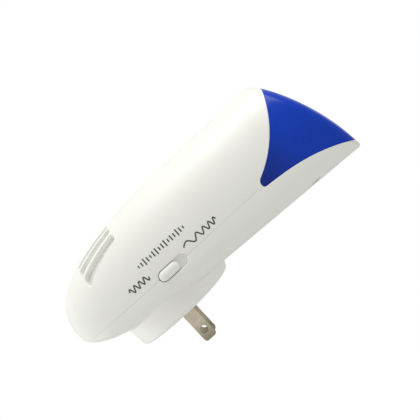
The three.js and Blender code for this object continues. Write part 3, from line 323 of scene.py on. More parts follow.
def object_from(bm, name, material_name, flat=False):
    """An object from a bmesh in millimetres, with smooth faces that follow the larger ones."""
    bmesh.ops.remove_doubles(bm, verts=bm.verts, dist=1e-4)
    bmesh.ops.dissolve_degenerate(bm, dist=1e-5, edges=bm.edges)
    loose = [vert for vert in bm.verts if not vert.link_faces]
    bmesh.ops.delete(bm, geom=loose, context="VERTS")
    bmesh.ops.scale(bm, vec=(MM, MM, MM), verts=bm.verts)
    mesh = bpy.data.meshes.new(name)
    bm.to_mesh(mesh)
    bm.free()
    for face in mesh.polygons:
        face.use_smooth = not flat
    made = bpy.data.objects.new(name, mesh)
    bpy.context.scene.collection.objects.link(made)
    mesh.materials.append(bpy.data.materials[material_name])
    if not flat:
        weights = made.modifiers.new("larger_faces_first", "WEIGHTED_NORMAL")
        weights.mode = "FACE_AREA"
        weights.keep_sharp = True
    return made


def stitch(bm, outer, inner, closed=True):
    """Faces between two rows of vertices that match one to one."""
    count = len(outer)
    for i in range(count if closed else count - 1):
        j = (i + 1) % count
        corners = [outer[i], outer[j], inner[j], inner[i]]
        corners = [vert for k, vert in enumerate(corners) if vert not in corners[:k]]
        if len(corners) > 2:
            bm.faces.new(corners)


def stadium_quarter(step, rows, columns, half_width, half_length, round_rows):
    """A point of a round-ended slot's first quarter: up its side, then round to its top."""
    straight = half_length - half_width
    side_steps = rows - round_rows
    if step <= side_steps:
        return half_width, straight * step / side_steps
    turn = (step - side_steps) / (round_rows + columns) * math.pi / 2
    return half_width * math.cos(turn), straight + half_width * math.sin(turn)


def stadium_loop(rows, columns, half_width, half_length, round_rows=0):
    """A round-ended slot as a closed loop of (u, v), from its right middle, going up first."""
    steps = rows + columns
    quarter = [
        stadium_quarter(step, rows, columns, half_width, half_length, round_rows)
        for step in range(steps + 1)
    ]
    right_top = quarter[:-1]
    left_top = [(-u, v) for u, v in reversed(quarter)][:-1]
    left_low = [(-u, -v) for u, v in quarter][:-1]
    right_low = [(u, -v) for u, v in reversed(quarter)][:-1]
    return right_top + left_top + left_low + right_low


class ShellGrid:
    """A shell's skin as rows and columns, with windows left out for what is cut in it."""

    def __init__(self, turn_of, way_of, rows, columns):
        self.bm = bmesh.new()
        self.turn_of, self.way_of = turn_of, way_of
        self.rows, self.columns = rows, columns
        self.made, self.windows = {}, []

    def vert(self, row, column):
        """The vertex at a row and a column."""
        key = (row, column)
        if key not in self.made:
            way = self.way_of(row, self.turn_of(column, WIDTH_FULL_Z))
            turn = self.turn_of(column, min(way, WIDTH_FULL_Z))
            self.made[key] = self.bm.verts.new(skin_point(turn, way))
        return self.made[key]

    def window(self, row0, row1, column0, column1):
        """Leaves out a window and returns its edge, from its right middle, going up first."""
        self.windows.append((row0, row1, column0, column1))
        middle_row, middle_column = (row0 + row1) // 2, (column0 + column1) // 2
        edge = [(row, column1) for row in range(middle_row, row1)]
        edge += [(row1, column) for column in range(column1, column0, -1)]
        edge += [(row, column0) for row in range(row1, row0, -1)]
        edge += [(row0, column) for column in range(column0, column1)]
        edge += [(row, column1) for row in range(row0, middle_row)]
        return [self.vert(*key) for key in edge], middle_row - row0, middle_column - column0

    def open_window(self, row0, row1, column0, column1, open_right):
        """The same for a window that is open at the seam: its edge from seam to seam."""
        self.windows.append((row0, row1, column0, column1))
        top = [(row1, column) for column in range(column0, column1 + 1)]
        low = [(row0, column) for column in range(column0, column1 + 1)]
        if open_right:
            side = [(row, column0) for row in range(row1 - 1, row0, -1)]
            edge = top[::-1] + side + low
        else:
            side = [(row, column1) for row in range(row0 + 1, row1)]
            edge = low + side + top[::-1]
        return [self.vert(*key) for key in edge]

    def fill_to(self, edge, target, place, rings, closed=True):
        """Rings from a window's edge to a target loop, each point placed on the skin."""
        outer = edge
        for ring in range(1, rings + 1):
            inner = []
            for vert, end in zip(edge, target):
                share = ring / rings
                inner.append(self.bm.verts.new(place(vert.co, end, share)))
            stitch(self.bm, outer, inner, closed)
            outer = inner
        return outer

    def finish(self):
        """Makes the faces outside the windows."""
        for row in range(self.rows):
            for column in range(self.columns):
                if any(a <= row < b and c <= column < d for a, b, c, d in self.windows):
                    continue
                corners = [
                    self.vert(row, column),
                    self.vert(row, column + 1),
                    self.vert(row + 1, column + 1),
                    self.vert(row + 1, column),
                ]
                self.bm.faces.new(corners)
        bmesh.ops.remove_doubles(self.bm, verts=self.bm.verts, dist=1e-4)
        return self.bm


def roll_edges(bm, radius_at, depth_at, cap_at=None, steps=4):
    """Rounds every open edge inwards and gives it a wall, as a moulding has."""
    bm.normal_update()
    open_edges = [edge for edge in bm.edges if edge.is_boundary]
    outward, pairs = {}, []
    for edge in open_edges:
        loop = edge.link_loops[0]
        start, end = loop.vert, loop.link_loop_next.vert
        side = (end.co - start.co).normalized().cross(loop.face.normal)
        pairs.append((start, end))
        for vert in (start, end):
            outward.setdefault(vert, []).append(side)
    chains = {}
    for vert, sides in outward.items():
        way = sum(sides, Vector()).normalized()
        mitre = 1 / max(way.dot(sides[0]), 0.6)
        radius, depth = radius_at(vert.co), depth_at(vert.co)
        normal = vert.normal.copy()
        chain = [vert]
        for step in range(1, steps + 1):
            turn = step / steps * math.pi / 2
            moved = way * radius * math.sin(turn) * mitre - normal * radius * (1 - math.cos(turn))
            chain.append(bm.verts.new(vert.co + moved))
        chain.append(bm.verts.new(vert.co + way * radius * mitre - normal * depth))
        chains[vert] = chain
    for start, end in pairs:
        for level in range(steps + 1):
            lower, upper = chains[start], chains[end]
            bm.faces.new((upper[level], lower[level], lower[level + 1], upper[level + 1]))
    if cap_at:
        followers = dict(pairs)
        while followers:
            first, vert = followers.popitem()
            ring = [first]
            while vert != first and vert in followers:
                ring.append(vert)
                vert = followers.pop(vert)
            if cap_at(first.co):
                bm.faces.new([chains[vert][-1] for vert in reversed(ring)])


# ---- Shells ------------------------------------------------------------------------------------

def seam_turn(z, y):
    """The turn at which a shell's seam edge lies, measured from the +X side."""
    return turn_from_y(y, z)


def spread(counts):
    """For each column, its block and the share of the way across that block."""
    places = []
    for block, count in enumerate(counts):
        places += [(block, i / count) for i in range(count)]
    places.append((len(counts) - 1, 1))
    return places


def lowest_seam(y):
    """The height at which the rear outline passes the seam edge."""
    low, high = NOSE_Z, REAR_FULL_Z
    for _ in range(50):
        middle = (low + high) / 2
        if section(middle)[2] < y:
            low = middle
        else:
            high = middle
    return high


def level_rows(levels, counts, powers):
    """Heights of the rows between level lines."""
    rows = []
    for low, high, count, power in zip(levels, levels[1:], counts, powers):
        rows += [lerp(low, high, (i / count) ** power) for i in range(count)]
    return rows


def in_slot(co):
    """True on the edge of the knob's slot."""
    return co.x > 0 and abs(co.z - SLOT_Z) < SLOT_LENGTH / 2 + 1 and abs(co.y - SEAM_Y) < SLOT_WIDTH


def shell_radius(sizes):
    """The edge radius of a shell at a point: finer along the seam and the lens than elsewhere."""
    def radius(co):
        if lens_distance(co) < 1:
            return sizes.rim_radius
        by_seam = abs(co.y - SEAM_Y) < 0.5 and co.z < CROWN_TOP_Z - LENS_TIP_DROP - 4
        return sizes.seam_radius if by_seam else sizes.edge_radius
    return radius


def slot_edge(sizes, seam_y, steps_side, steps_end, toward):
    """Half of the slot's outline in Y and Z, from seam to seam, grown by the edge radius."""
    half_width = SLOT_WIDTH / 2 + sizes.edge_radius
    half_length = SLOT_LENGTH / 2 + sizes.edge_radius
    quarter = [
        stadium_quarter(step, steps_side, steps_end, half_width, half_length, 0)
        for step in range(steps_side + steps_end + 1)
    ]
    upper = [(toward * max(u, abs(seam_y - SEAM_Y)), v) for u, v in reversed(quarter)]
    lower = [(u, -v) for u, v in reversed(upper)][1:]
    outline = [(SEAM_Y + u, SLOT_Z + v) for u, v in upper + lower]
    return outline if toward < 0 else outline[::-1]


def place_on_side(co, end, share):
    """Moves from a window's edge towards a (y, z) on the +X wall."""
    return side_point(lerp(co.y, end[0], share), lerp(co.z, end[1], share))


def make_front_shell(sizes):
    """The front shell's skin, with its vents and its half of the slot."""
    seam_y = SEAM_Y - sizes.seam_gap / 2 - sizes.seam_radius
    cells = 8
    counts = [10, 14] + [cells] * VENT_COUNT + [14, 10]
    places = spread(counts)
    slot_share = 0.14

    @functools.lru_cache(maxsize=None)
    def lines(z):
        half_width = section(z)[0]
        field = min(VENT_FIELD, VENT_FIELD_SHARE * half_width)
        seam = seam_turn(z, seam_y)
        slot = math.atan2(slot_share, other_side(slot_share, FRONT_SQUARENESS))
        vents = [
            turn_from_x(lerp(-field, field, i / VENT_COUNT), z, False)
            for i in range(VENT_COUNT + 1)
        ]
        return [-math.pi - seam, slot - math.pi, *vents, -slot, seam]

    def turn_of(column, z):
        block, share = places[column]
        ends = lines(z)
        return lerp(ends[block], ends[block + 1], share)

    levels = [
        NOSE_Z,
        lowest_seam(seam_y),
        VENT_LOW_Z - VENT_LAND,
        SLOT_Z - SLOT_LENGTH / 2 - SLOT_LAND,
        VENT_HIGH_Z + VENT_LAND,
        SLOT_Z + SLOT_LENGTH / 2 + SLOT_LAND,
    ]
    row_counts = [5, 20, 20, 2, 18]
    top_rows = 48
    heights = level_rows(levels, row_counts, [2.4, 1.6, 1, 1, 1])
    outside = sizes.seam_gap / 2 + sizes.rim_radius

    def way_of(row, turn):
        if row < len(heights):
            return heights[row]
        share = (row - len(heights)) / top_rows
        return lerp(levels[-1], way_to_lens(turn, outside), share)

    grid = ShellGrid(turn_of, way_of, len(heights) + top_rows, len(places) - 1)
    vent_rows = (sum(row_counts[:2]), sum(row_counts[:4]))
    slot_rows = (sum(row_counts[:3]), sum(row_counts[:5]))
    middle_z = (VENT_LOW_Z + VENT_HIGH_Z) / 2
    half_length = (VENT_HIGH_Z - VENT_LOW_Z) / 2 + sizes.edge_radius
    for i in range(VENT_COUNT):
        first = sum(counts[:2]) + i * cells
        edge, rows, columns = grid.window(*vent_rows, first, first + cells)
        x = (i - (VENT_COUNT - 1) / 2) * VENT_PITCH
        half_width = VENT_WIDTH / 2 + sizes.edge_radius
        loop = stadium_loop(rows, columns, half_width, half_length, 2)
        target = [(x + u, middle_z + v) for u, v in loop]
        grid.fill_to(edge, target, place_on_front, 3)
    last = len(places) - 1
    edge = grid.open_window(*slot_rows, last - counts[-1], last, True)
    target = slot_edge(sizes, seam_y, (slot_rows[1] - slot_rows[0]) // 2, counts[-1], -1)
    grid.fill_to(edge, target, place_on_side, 4, closed=False)
    bm = grid.finish()

    def depth_at(co):
        if in_slot(co):
            return SHUTTER_DEPTH - 0.1
        return VENT_DEPTH if abs(co.x) < VENT_FIELD and co.z < VENT_HIGH_Z + 1 else WALL

    roll_edges(bm, shell_radius(sizes), depth_at)
    shell = object_from(bm, "front_shell_skin", "abs_moulded_white")
    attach(shell, "housing")
    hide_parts("front_shell")


def place_on_front(co, end, share):
    """Moves from a window's edge towards an (x, z) on the front wall."""
    return front_point(lerp(co.x, end[0], share), lerp(co.z, end[1], share))


def place_on_rear(co, end, share):
    """Moves from a window's edge towards an (x, z) on the rear wall."""
    return rear_point(lerp(co.x, end[0], share), lerp(co.z, end[1], share))


def boss_rounding(turn):
    """Fillet reach and height, and rim reach and height, of the boss at an angle about Y."""
    upper = max(0, math.sin(turn)) ** 3
    return 0.8 + 0.2 * upper, 0.8 + 0.2 * upper, 1.4 + 5.1 * upper, 1.4 + 0.4 * upper


def boss_reach(turn, draft=0.0):
    """Distance of the boss's wall from the plug's axis: round below and oval above."""
    top = BOSS_RADIUS + (BOSS_TOP_RISE if math.sin(turn) > 0 else 0)
    round_reach = 1 / math.hypot(math.cos(turn) / BOSS_RADIUS, math.sin(turn) / top)
    return round_reach + draft * math.sin(turn) ** 4


def boss_turns(edge):
    """The angle about the plug's axis that each vertex of the boss's window looks to."""
    half_width = max(vert.co.x for vert in edge)
    half_height = (max(vert.co.z for vert in edge) - min(vert.co.z for vert in edge)) / 2
    return [math.atan2(vert.co.z / half_height, vert.co.x / half_width) for vert in edge]


def add_boss(grid, edge):
    """The round boss: fillet, wall, rounded rim and a flat face with two blade openings."""
    turns = boss_turns(edge)
    roots = []
    for turn in turns:
        reach = boss_reach(turn, BOSS_DRAFT) + boss_rounding(turn)[0]
        roots.append((reach * math.cos(turn), reach * math.sin(turn)))
    loop = grid.fill_to(edge, roots, place_on_rear, 6)

    def ring(point_at):
        return [grid.bm.verts.new(point_at(turn)) for turn in turns]

    def on_fillet(share):
        def point(turn):
            reach, height, _, _ = boss_rounding(turn)
            angle = share * math.pi / 2
            radius = boss_reach(turn, BOSS_DRAFT) + reach * (1 - math.sin(angle))
            base = rear_point(radius * math.cos(turn), radius * math.sin(turn))
            return base + Vector((0, height * (1 - math.cos(angle)), 0))
        return point

    def on_wall(share):
        def point(turn):
            _, height, _, rim_height = boss_rounding(turn)
            root, radius = boss_reach(turn, BOSS_DRAFT), boss_reach(turn, BOSS_DRAFT * (1 - share))
            base = rear_point(root * math.cos(turn), root * math.sin(turn)).y + height
            y = lerp(base, max(-rim_height, base), share)
            return Vector((radius * math.cos(turn), y, radius * math.sin(turn)))
        return point

    def on_rim(share):
        def point(turn):
            _, _, reach, height = boss_rounding(turn)
            angle = share * math.pi / 2
            radius = boss_reach(turn) - reach * (1 - math.cos(angle))
            return Vector((
                radius * math.cos(turn),
                height * (math.sin(angle) - 1),
                radius * math.sin(turn),
            ))
        return point

    shapes = [on_fillet((i + 1) / 5) for i in range(5)]
    shapes += [on_wall((i + 1) / 3) for i in range(3)]
    shapes += [on_rim((i + 1) / 6) for i in range(6)]
    for shape in shapes:
        inner = ring(shape)
        stitch(grid.bm, loop, inner)
        loop = inner
    close_boss_face(grid.bm, loop)


def close_boss_face(bm, loop):
    """Fills the boss's flat face round the openings for the blades."""
    blade_x = (BLADE_LOW.x + BLADE_HIGH.x) / 2
    half = ((BLADE_HIGH.x - BLADE_LOW.x) / 2 + SEAM_GAP, BLADE_WIDTH / 2 + SEAM_GAP)
    points = [Vector((vert.co.x, vert.co.z)) for vert in loop]
    lines = [(i, (i + 1) % len(loop)) for i in range(len(loop))]
    for side in (-1, 1):
        first = len(points)
        for u, v in ((-1, -1), (1, -1), (1, 1), (-1, 1)):
            points.append(Vector((side * blade_x + u * half[0], v * half[1])))
        lines += [(first + i, first + (i + 1) % 4) for i in range(4)]
    flat, _, triangles, originals, _, _ = delaunay_2d_cdt(points, lines, [], 1, 1e-6)
    verts = {}
    for triangle in triangles:
        centre = sum((flat[i] for i in triangle), Vector((0, 0))) / 3
        if abs(abs(centre.x) - blade_x) < half[0] and abs(centre.y) < half[1]:
            continue
        corners = []
        for i in triangle:
            if i not in verts:
                source = originals[i][0]
                co = (flat[i].x, 0, flat[i].y)
                verts[i] = loop[source] if source < len(loop) else bm.verts.new(co)
            corners.append(verts[i])
        face = bm.faces.new(corners)
        face.normal_update()
        if face.normal.y < 0:
            face.normal_flip()


def make_rear_shell(sizes):
    """The rear shell's skin, with the boss, the screw wells and its half of the slot."""
    seam_y = SEAM_Y + sizes.seam_gap / 2 + sizes.seam_radius
    counts = [12, 6, 10, 24, 10, 6, 12]
    places = spread(counts)
    side_share, outer_share, inner_share = 0.35, 0.86, 0.5

    @functools.lru_cache(maxsize=None)
    def lines(z):
        half_width = section(z)[0]
        seam = seam_turn(z, seam_y)
        side = math.atan2(side_share, other_side(side_share, REAR_SQUARENESS))
        outer = turn_from_x(outer_share * half_width, z, True)
        inner = turn_from_x(inner_share * half_width, z, True)
        quarter = math.pi / 2
        right = [seam + (quarter - seam) * turn / quarter for turn in (0, side, outer, inner)]
        return right + [math.pi - turn for turn in reversed(right)]

    def turn_of(column, z):
        block, share = places[column]
        ends = lines(z)
        if block == 0:
            share = share ** 1.6
        if block == len(counts) - 1:
            share = 1 - (1 - share) ** 1.6
        return lerp(ends[block], ends[block + 1], share)

    nose_z = node_middle_z("housing_screw_nose")
    top_z = node_middle_z("housing_screw_right")
    reach = WELL_RADIUS + WELL_LAND
    levels = [
        lowest_seam(seam_y),
        nose_z - reach,
        nose_z + reach,
        SLOT_Z - SLOT_LENGTH / 2 - SLOT_LAND,
        SLOT_Z + SLOT_LENGTH / 2 + SLOT_LAND,
        BOSS_RADIUS + BOSS_TOP_RISE + 6,
    ]
    row_counts = [6, 10, 20, 16, 6]
    heights = level_rows(levels, row_counts, [2, 1, 1, 1, 1])
    outside = sizes.seam_gap / 2 + sizes.rim_radius
    top_counts = [26, 10, 14]

    def way_of(row, turn):
        if row < len(heights):
            return heights[row]
        low, high = levels[-1], way_to_lens(turn, outside)
        # The rows beside the wells keep their heights unless the lens comes down to them.
        below = min(top_z - reach, lerp(low, high, 0.64))
        above = min(top_z + reach, lerp(low, high, 0.8))
        ways = [low, below, above, high]
        step = row - len(heights)
        for count, start, end in zip(top_counts, ways, ways[1:]):
            if step <= count:
                return lerp(start, end, step / count)
            step -= count
        return high

    grid = ShellGrid(turn_of, way_of, len(heights) + sum(top_counts), len(places) - 1)
    edge = grid.window(sum(row_counts[:2]), sum(row_counts), counts[0], sum(counts[:6]))[0]
    add_boss(grid, edge)
    well_rows = (len(heights) + top_counts[0], len(heights) + sum(top_counts[:2]))
    top_x = (SCREW_LOW.x + SCREW_HIGH.x) / 2
    add_well(grid, sizes, (*well_rows, sum(counts[:2]), sum(counts[:3])), top_x, top_z)
    add_well(grid, sizes, (*well_rows, sum(counts[:4]), sum(counts[:5])), -top_x, top_z)
    nose_rows = (row_counts[0], sum(row_counts[:2]))
    add_well(grid, sizes, (*nose_rows, sum(counts[:3]), sum(counts[:4])), 0, nose_z)
    slot_rows = (sum(row_counts[:3]), sum(row_counts[:4]))
    edge = grid.open_window(*slot_rows, 0, counts[0], False)
    target = slot_edge(sizes, seam_y, row_counts[3] // 2, counts[0], 1)
    grid.fill_to(edge, target, place_on_side, 4, closed=False)
    bm = grid.finish()
    wells = [(top_x, top_z), (-top_x, top_z), (0, nose_z)]
    floor_y = SCREW_HIGH.y - SCREW_HEAD_HEIGHT - FIT_GAP

    def by_well(co):
        return any(math.hypot(co.x - x, co.z - z) < WELL_RADIUS + 1 for x, z in wells)

    def depth_at(co):
        if by_well(co):
            return co.y - floor_y
        return SHUTTER_DEPTH - 0.1 if in_slot(co) else WALL

    roll_edges(bm, shell_radius(sizes), depth_at, by_well)
    shell = object_from(bm, "rear_shell_skin", "abs_moulded_white")
    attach(shell, "housing")
    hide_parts("rear_shell")


def node_middle_z(node):
    """Height of the middle of a CAD node."""
    low, high = node_box(node)
    return (low.z + high.z) / 2


def add_well(grid, sizes, window, x, z):
    """A round screw well in a window of the rear shell."""
    edge = grid.window(*window)[0]
    radius = WELL_RADIUS + sizes.edge_radius
    half_width = max(abs(vert.co.x - x) for vert in edge)
    half_height = max(abs(vert.co.z - z) for vert in edge)
    target = []
    for vert in edge:
        turn = math.atan2((vert.co.z - z) / half_height, (vert.co.x - x) / half_width)
        target.append((x + radius * math.cos(turn), z + radius * math.sin(turn)))
    grid.fill_to(edge, target, place_on_rear, 3)


def make_lens(sizes):
    """The lens: its skin from the outline to the crown's centre, with a rolled edge."""
    quarter = [math.pi / 2 * (i / 46) ** 1.6 for i in range(46)]
    half = quarter + [math.pi - turn for turn in [math.pi / 2] + quarter[:0:-1]]
    turns = half + [-turn for turn in [math.pi] + half[:0:-1]]
    rows = 40
    inside = -sizes.seam_gap / 2 - sizes.lens_radius
    bm = bmesh.new()
    loop = None
    for row in range(rows + 1):
        inner = []
        for turn in turns:
            start, end = way_to_lens(turn, inside), skin_end(turn)
            inner.append(bm.verts.new(skin_point(turn, lerp(start, end, (row / rows) ** 1.1))))
        if loop:
            stitch(bm, loop, inner)
        loop = inner
    bmesh.ops.remove_doubles(bm, verts=bm.verts, dist=1e-4)
    bm.normal_update()
    for vert in bm.verts:
        vert.co -= vert.normal * sizes.lens_recess
    roll_edges(bm, lambda co: sizes.lens_radius, lambda co: WALL)
    lens = object_from(bm, "night_light_lens_skin", "polycarbonate_blue")
    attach(lens, "housing")
    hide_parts("night_light_lens")


# ---- Switch, plug and screws -------------------------------------------------------------------

def loft(bm, loops, cap_first=False, cap_last=True):
    """Faces between loops of points, with the ends closed where asked."""
    rows = [[bm.verts.new(point) for point in loop] for loop in loops]
    for outer, inner in zip(rows, rows[1:]):
        stitch(bm, outer, inner)
    if cap_last:
        bm.faces.new(rows[-1])
    if cap_first:
        bm.faces.new(rows[0][::-1])


def add_shutter(bm):
    """The plate behind the slot, bent to follow the wall."""
    rows = []
    for i in range(9):
        y = lerp(KNOB_LOW.y, KNOB_HIGH.y, i / 8)
        row = []
        for j in range(17):
            z = lerp(KNOB_LOW.z, KNOB_HIGH.z, j / 16)
            row.append(bm.verts.new(side_point(y, z) - Vector((SHUTTER_DEPTH, 0, 0))))
        rows.append(row)
    plate = []
    for low, high in zip(rows, rows[1:]):
        for j in range(len(low) - 1):
            plate.append(bm.faces.new((low[j], high[j], high[j + 1], low[j + 1])))
    thick = bmesh.ops.extrude_face_region(bm, geom=plate)["geom"]
    for vert in thick:
        if isinstance(vert, bmesh.types.BMVert):
            vert.co.x -= SHUTTER_THICKNESS
    bmesh.ops.recalc_face_normals(bm, faces=bm.faces)


def make_knob():
    """The slide switch's knob: steep sides, a wide bevel, a crowned top, and its shutter."""
    bm = bmesh.new()
    middle_z = SLOT_Z - SLOT_LENGTH / 2 + KNOB_END_GAP + KNOB_LENGTH / 2
    top, base = KNOB_HIGH.x, KNOB_LOW.x
    # How far each level is drawn in from the knob's outline, and its height from the top.
    profile = [(0, base - top), (0, -1.15), (0.05, -1.0), (0.15, -0.9), (0.75, -0.42), (0.9, -0.34)]
    profile += [(1.05, -0.3), (1.4, -0.12), (1.8, -0.03), (2.1, 0)]
    loops = []
    for shrink, rise in profile:
        loop = stadium_loop(8, 8, KNOB_WIDTH / 2 - shrink, KNOB_LENGTH / 2 - shrink)
        loops.append([(top + rise, SEAM_Y + u, middle_z + v) for u, v in loop])
    loft(bm, loops)
    add_shutter(bm)
    knob = object_from(bm, "slide_knob", "abs_moulded_knob")
    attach(knob, "slider")
    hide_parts("switch_knob")


def blade_outline(steps=5):
    """Outline of a blade in Y and Z: tail, tang and a flat tip with round corners."""
    half, tang = BLADE_WIDTH / 2, BLADE_HIGH.z
    tip, corner = BLADE_HIGH.y, BLADE_TIP_RADIUS
    tail, tang_front = BLADE_LOW.y, BLADE_LOW.y + BLADE_TAIL
    tang_back = tang_front + BLADE_TANG_DEPTH
    points = [(tail, -half), (tang_front, -half), (tang_front, -tang)]
    points += [(tang_back, -tang), (tang_back, -half)]
    for sign in (-1, 1):
        for step in range(steps + 1):
            turn = step / steps * math.pi / 2
            turn = turn - math.pi / 2 if sign < 0 else turn
            points.append((
                tip - corner + corner * math.cos(turn),
                sign * (half - corner) + corner * math.sin(turn),
            ))
    points += [(tang_back, half), (tang_back, tang)]
    points += [(tang_front, tang), (tang_front, half), (tail, half)]
    return points


def make_blades(sizes):
    """The two plug blades, stamped from strip, with a deburred edge and a hole."""
    turns = [-2 * math.pi * i / 36 for i in range(36)]
    hole = [
        (BLADE_HOLE_Y + BLADE_HOLE_RADIUS * math.cos(turn), BLADE_HOLE_RADIUS * math.sin(turn))
        for turn in turns
    ]
    upright = Matrix(((0, 0, 1), (1, 0, 0), (0, 1, 0))).to_4x4()
    for name, node in (("right_blade", "plug_blade_right"), ("left_blade", "plug_blade_left")):
        low, high = node_box(node)
        curve = bpy.data.curves.new(name, "CURVE")
        curve.dimensions = "2D"
        curve.fill_mode = "BOTH"
        curve.extrude = (high.x - low.x) / 2 - sizes.blade_edge
        curve.bevel_depth = sizes.blade_edge
        curve.bevel_resolution = 2
        curve.offset = -sizes.blade_edge
        for outline in (blade_outline(), hole):
            spline = curve.splines.new("POLY")
            spline.points.add(len(outline) - 1)
            spline.use_cyclic_u = True
            for point, (y, z) in zip(spline.points, outline):
                point.co = (y, z, 0, 1)
        source = bpy.data.objects.new(name + "_curve", curve)
        bpy.context.scene.collection.objects.link(source)
        bpy.context.view_layer.update()
        graph = bpy.context.evaluated_depsgraph_get()
        flat = bpy.data.meshes.new_from_object(source.evaluated_get(graph))
        bpy.data.objects.remove(source)
        bm = bmesh.new()
        bm.from_mesh(flat)
        bpy.data.meshes.remove(flat)
        bmesh.ops.transform(bm, matrix=upright, verts=bm.verts)
        bmesh.ops.translate(bm, vec=((low.x + high.x) / 2, 0, 0), verts=bm.verts)
        blade = object_from(bm, name, "brass_nickel_plated")
        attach(blade, "housing")
        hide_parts(node)


def turned(bm, profile, x, z, sides=40):
    """A turned form about Y, from (radius, y) points that run from one end to the other."""
    turns = [-2 * math.pi * i / sides for i in range(sides)]
    loops = [
        [(x + radius * math.cos(turn), y, z + radius * math.sin(turn)) for turn in turns]
        for radius, y in profile
    ]
    loft(bm, loops, cap_first=True)


def make_screws():
    """The three housing screws in their wells: pan heads with a cross recess."""
    for node in ("housing_screw_right", "housing_screw_left", "housing_screw_nose"):
        low, high = node_box(node)
        x, z = (low.x + high.x) / 2, (low.z + high.z) / 2
        head, top = (high.x - low.x) / 2, high.y
        seat, shaft = high.y - SCREW_HEAD_HEIGHT, SCREW_SHAFT_RADIUS
        root, pitch = 0.8 * shaft, THREAD_PITCH
        profile = [(0.3, low.y), (shaft, low.y + shaft)]
        threads = int((seat - low.y - 2 * shaft) / pitch)
        for i in range(threads):
            y = low.y + shaft + i * pitch
            profile += [(root, y + 0.3 * pitch), (shaft, y + 0.6 * pitch), (root, y + 0.9 * pitch)]
        profile += [(shaft, seat - 0.2), (shaft, seat), (head * 0.97, seat), (head, seat + 0.15)]
        profile += [
            (head * math.cos(turn), seat + 0.25 + (top - seat - 0.25) * math.sin(turn))
            for turn in (0.15, 0.4, 0.65, 0.9, 1.1)
        ]
        profile.append((head * 0.2, top))
        bm = bmesh.new()
        turned(bm, profile, x, z)
        screw = object_from(bm, node + "_turned", "steel_zinc_plated")
        cut_cross(screw, x, z, top, head)
        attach(screw, "housing")
        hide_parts(node)


def cut_cross(screw, x, z, top, head):
    """Cuts a tapered cross recess in a screw's head."""
    bm = bmesh.new()
    for long_x, long_z in ((0.55 * head, 0.14 * head), (0.14 * head, 0.55 * head)):
        loops = []
        for y, share in ((top - 1.05, 0.55), (top + 0.5, 1.15)):
            loops.append([
                (x + u * long_x * share, y, z + v * long_z * share)
                for u, v in ((-1, 1), (1, 1), (1, -1), (-1, -1))
            ])
        loft(bm, loops, cap_first=True)
    cutter = object_from(bm, "cross_cutter", "steel_zinc_plated", flat=True)
    cut = screw.modifiers.new("cross", "BOOLEAN")
    cut.object = cutter
    cut.operation = "DIFFERENCE"
    cut.solver = "EXACT"
    cut.use_self = True
    bpy.context.view_layer.update()
    graph = bpy.context.evaluated_depsgraph_get()
    weights = screw.modifiers["larger_faces_first"]
    weights.show_viewport = False
    bpy.context.view_layer.update()
    screw.data = bpy.data.meshes.new_from_object(screw.evaluated_get(graph))
    screw.modifiers.remove(cut)
    weights.show_viewport = True
    screw.data.set_sharp_from_angle(angle=math.radians(50))
    bpy.data.objects.remove(cutter)


# ---- Printed marks -----------------------------------------------------------------------------

# Where each mark lies on the +X wall: its middle in Y, its ends in Z and its height across.
BARS_MARK = {"y": -28.6, "low": -0.2, "high": 25.2, "height": 3.2}
EVEN_MARK = {"y": -22.9, "low": -10.6, "high": 0.2, "height": 2.6}
SWEEP_MARK = {"y": -21.9, "low": 19.6, "high": 37.8, "height": 2.6}
BAR_SHARES = (0.35, 0.6, 1, 0.7, 0.45, 0.85, 1, 0.55, 0.75, 1, 0.5, 0.8, 0.6, 1, 0.7, 0.4)
INK_SUNK = 0.05


def ribbon(bm, path, width, lift, thickness):
    """A thin raised stroke along a path of (y, z) points on the +X wall."""
    rows = []
    for i, (y, z) in enumerate(path):
        before, after = path[max(i - 1, 0)], path[min(i + 1, len(path) - 1)]
        along = Vector((after[0] - before[0], after[1] - before[1])).normalized()
        across = Vector((-along.y, along.x)) * width / 2
        row = []
        for side, height in ((1, lift), (1, thickness), (-1, thickness), (-1, lift)):
            point = side_point(y + side * across.x, z + side * across.y)
            row.append(bm.verts.new(point + Vector((height, 0, 0))))
        rows.append(row)
    for low, high in zip(rows, rows[1:]):
        stitch(bm, low, high)
    bm.faces.new(rows[0])
    bm.faces.new(rows[-1][::-1])


def wave_path(y, low, high, height, phase_at, steps=72):
    """A wave along Z. Its crests point to -Y."""
    path = []
    for i in range(steps + 1):
        share = i / steps
        rise = height / 2 * math.sin(2 * math.pi * phase_at(share))
        path.append((y - rise, lerp(low, high, share)))
    return path


def level_bars(y, low, high, height):
    """A row of bars along Z, each across Y and of its own length."""
    paths = []
    for i, share in enumerate(BAR_SHARES):
        z = lerp(low, high, i / (len(BAR_SHARES) - 1))
        half = height * share / 2
        paths.append([(y - half, z), (y, z), (y + half, z)])
    return paths


def make_marks(sizes):
    """Three generic printed marks: level bars, an even wave and a wave that speeds up."""
    even = wave_path(**EVEN_MARK, phase_at=lambda share: 4 * share)
    sweep = wave_path(**SWEEP_MARK, phase_at=lambda share: 1.5 * share + 3 * share ** 2, steps=120)
    marks = {
        "mark_level_bars": level_bars(**BARS_MARK),
        "mark_even_wave": [even],
        "mark_sweeping_wave": [sweep],
    }
    for name, paths in marks.items():
        bm = bmesh.new()
        for path in paths:
            ribbon(bm, path, sizes.stroke, -INK_SUNK, sizes.ink_thickness)
        bmesh.ops.recalc_face_normals(bm, faces=bm.faces)
        mark = object_from(bm, name, "ink_pad_print_grey", flat=True)
        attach(mark, "housing")


# ---- Materials ---------------------------------------------------------------------------------

def linear(hex_colour):
    """An sRGB hex colour as linear red, green, blue and alpha."""
    channels = [int(hex_colour[i:i + 2], 16) / 255 for i in (1, 3, 5)]
    curve = [c / 12.92 if c <= 0.04045 else ((c + 0.055) / 1.055) ** 2.4 for c in channels]
    return (*curve, 1)


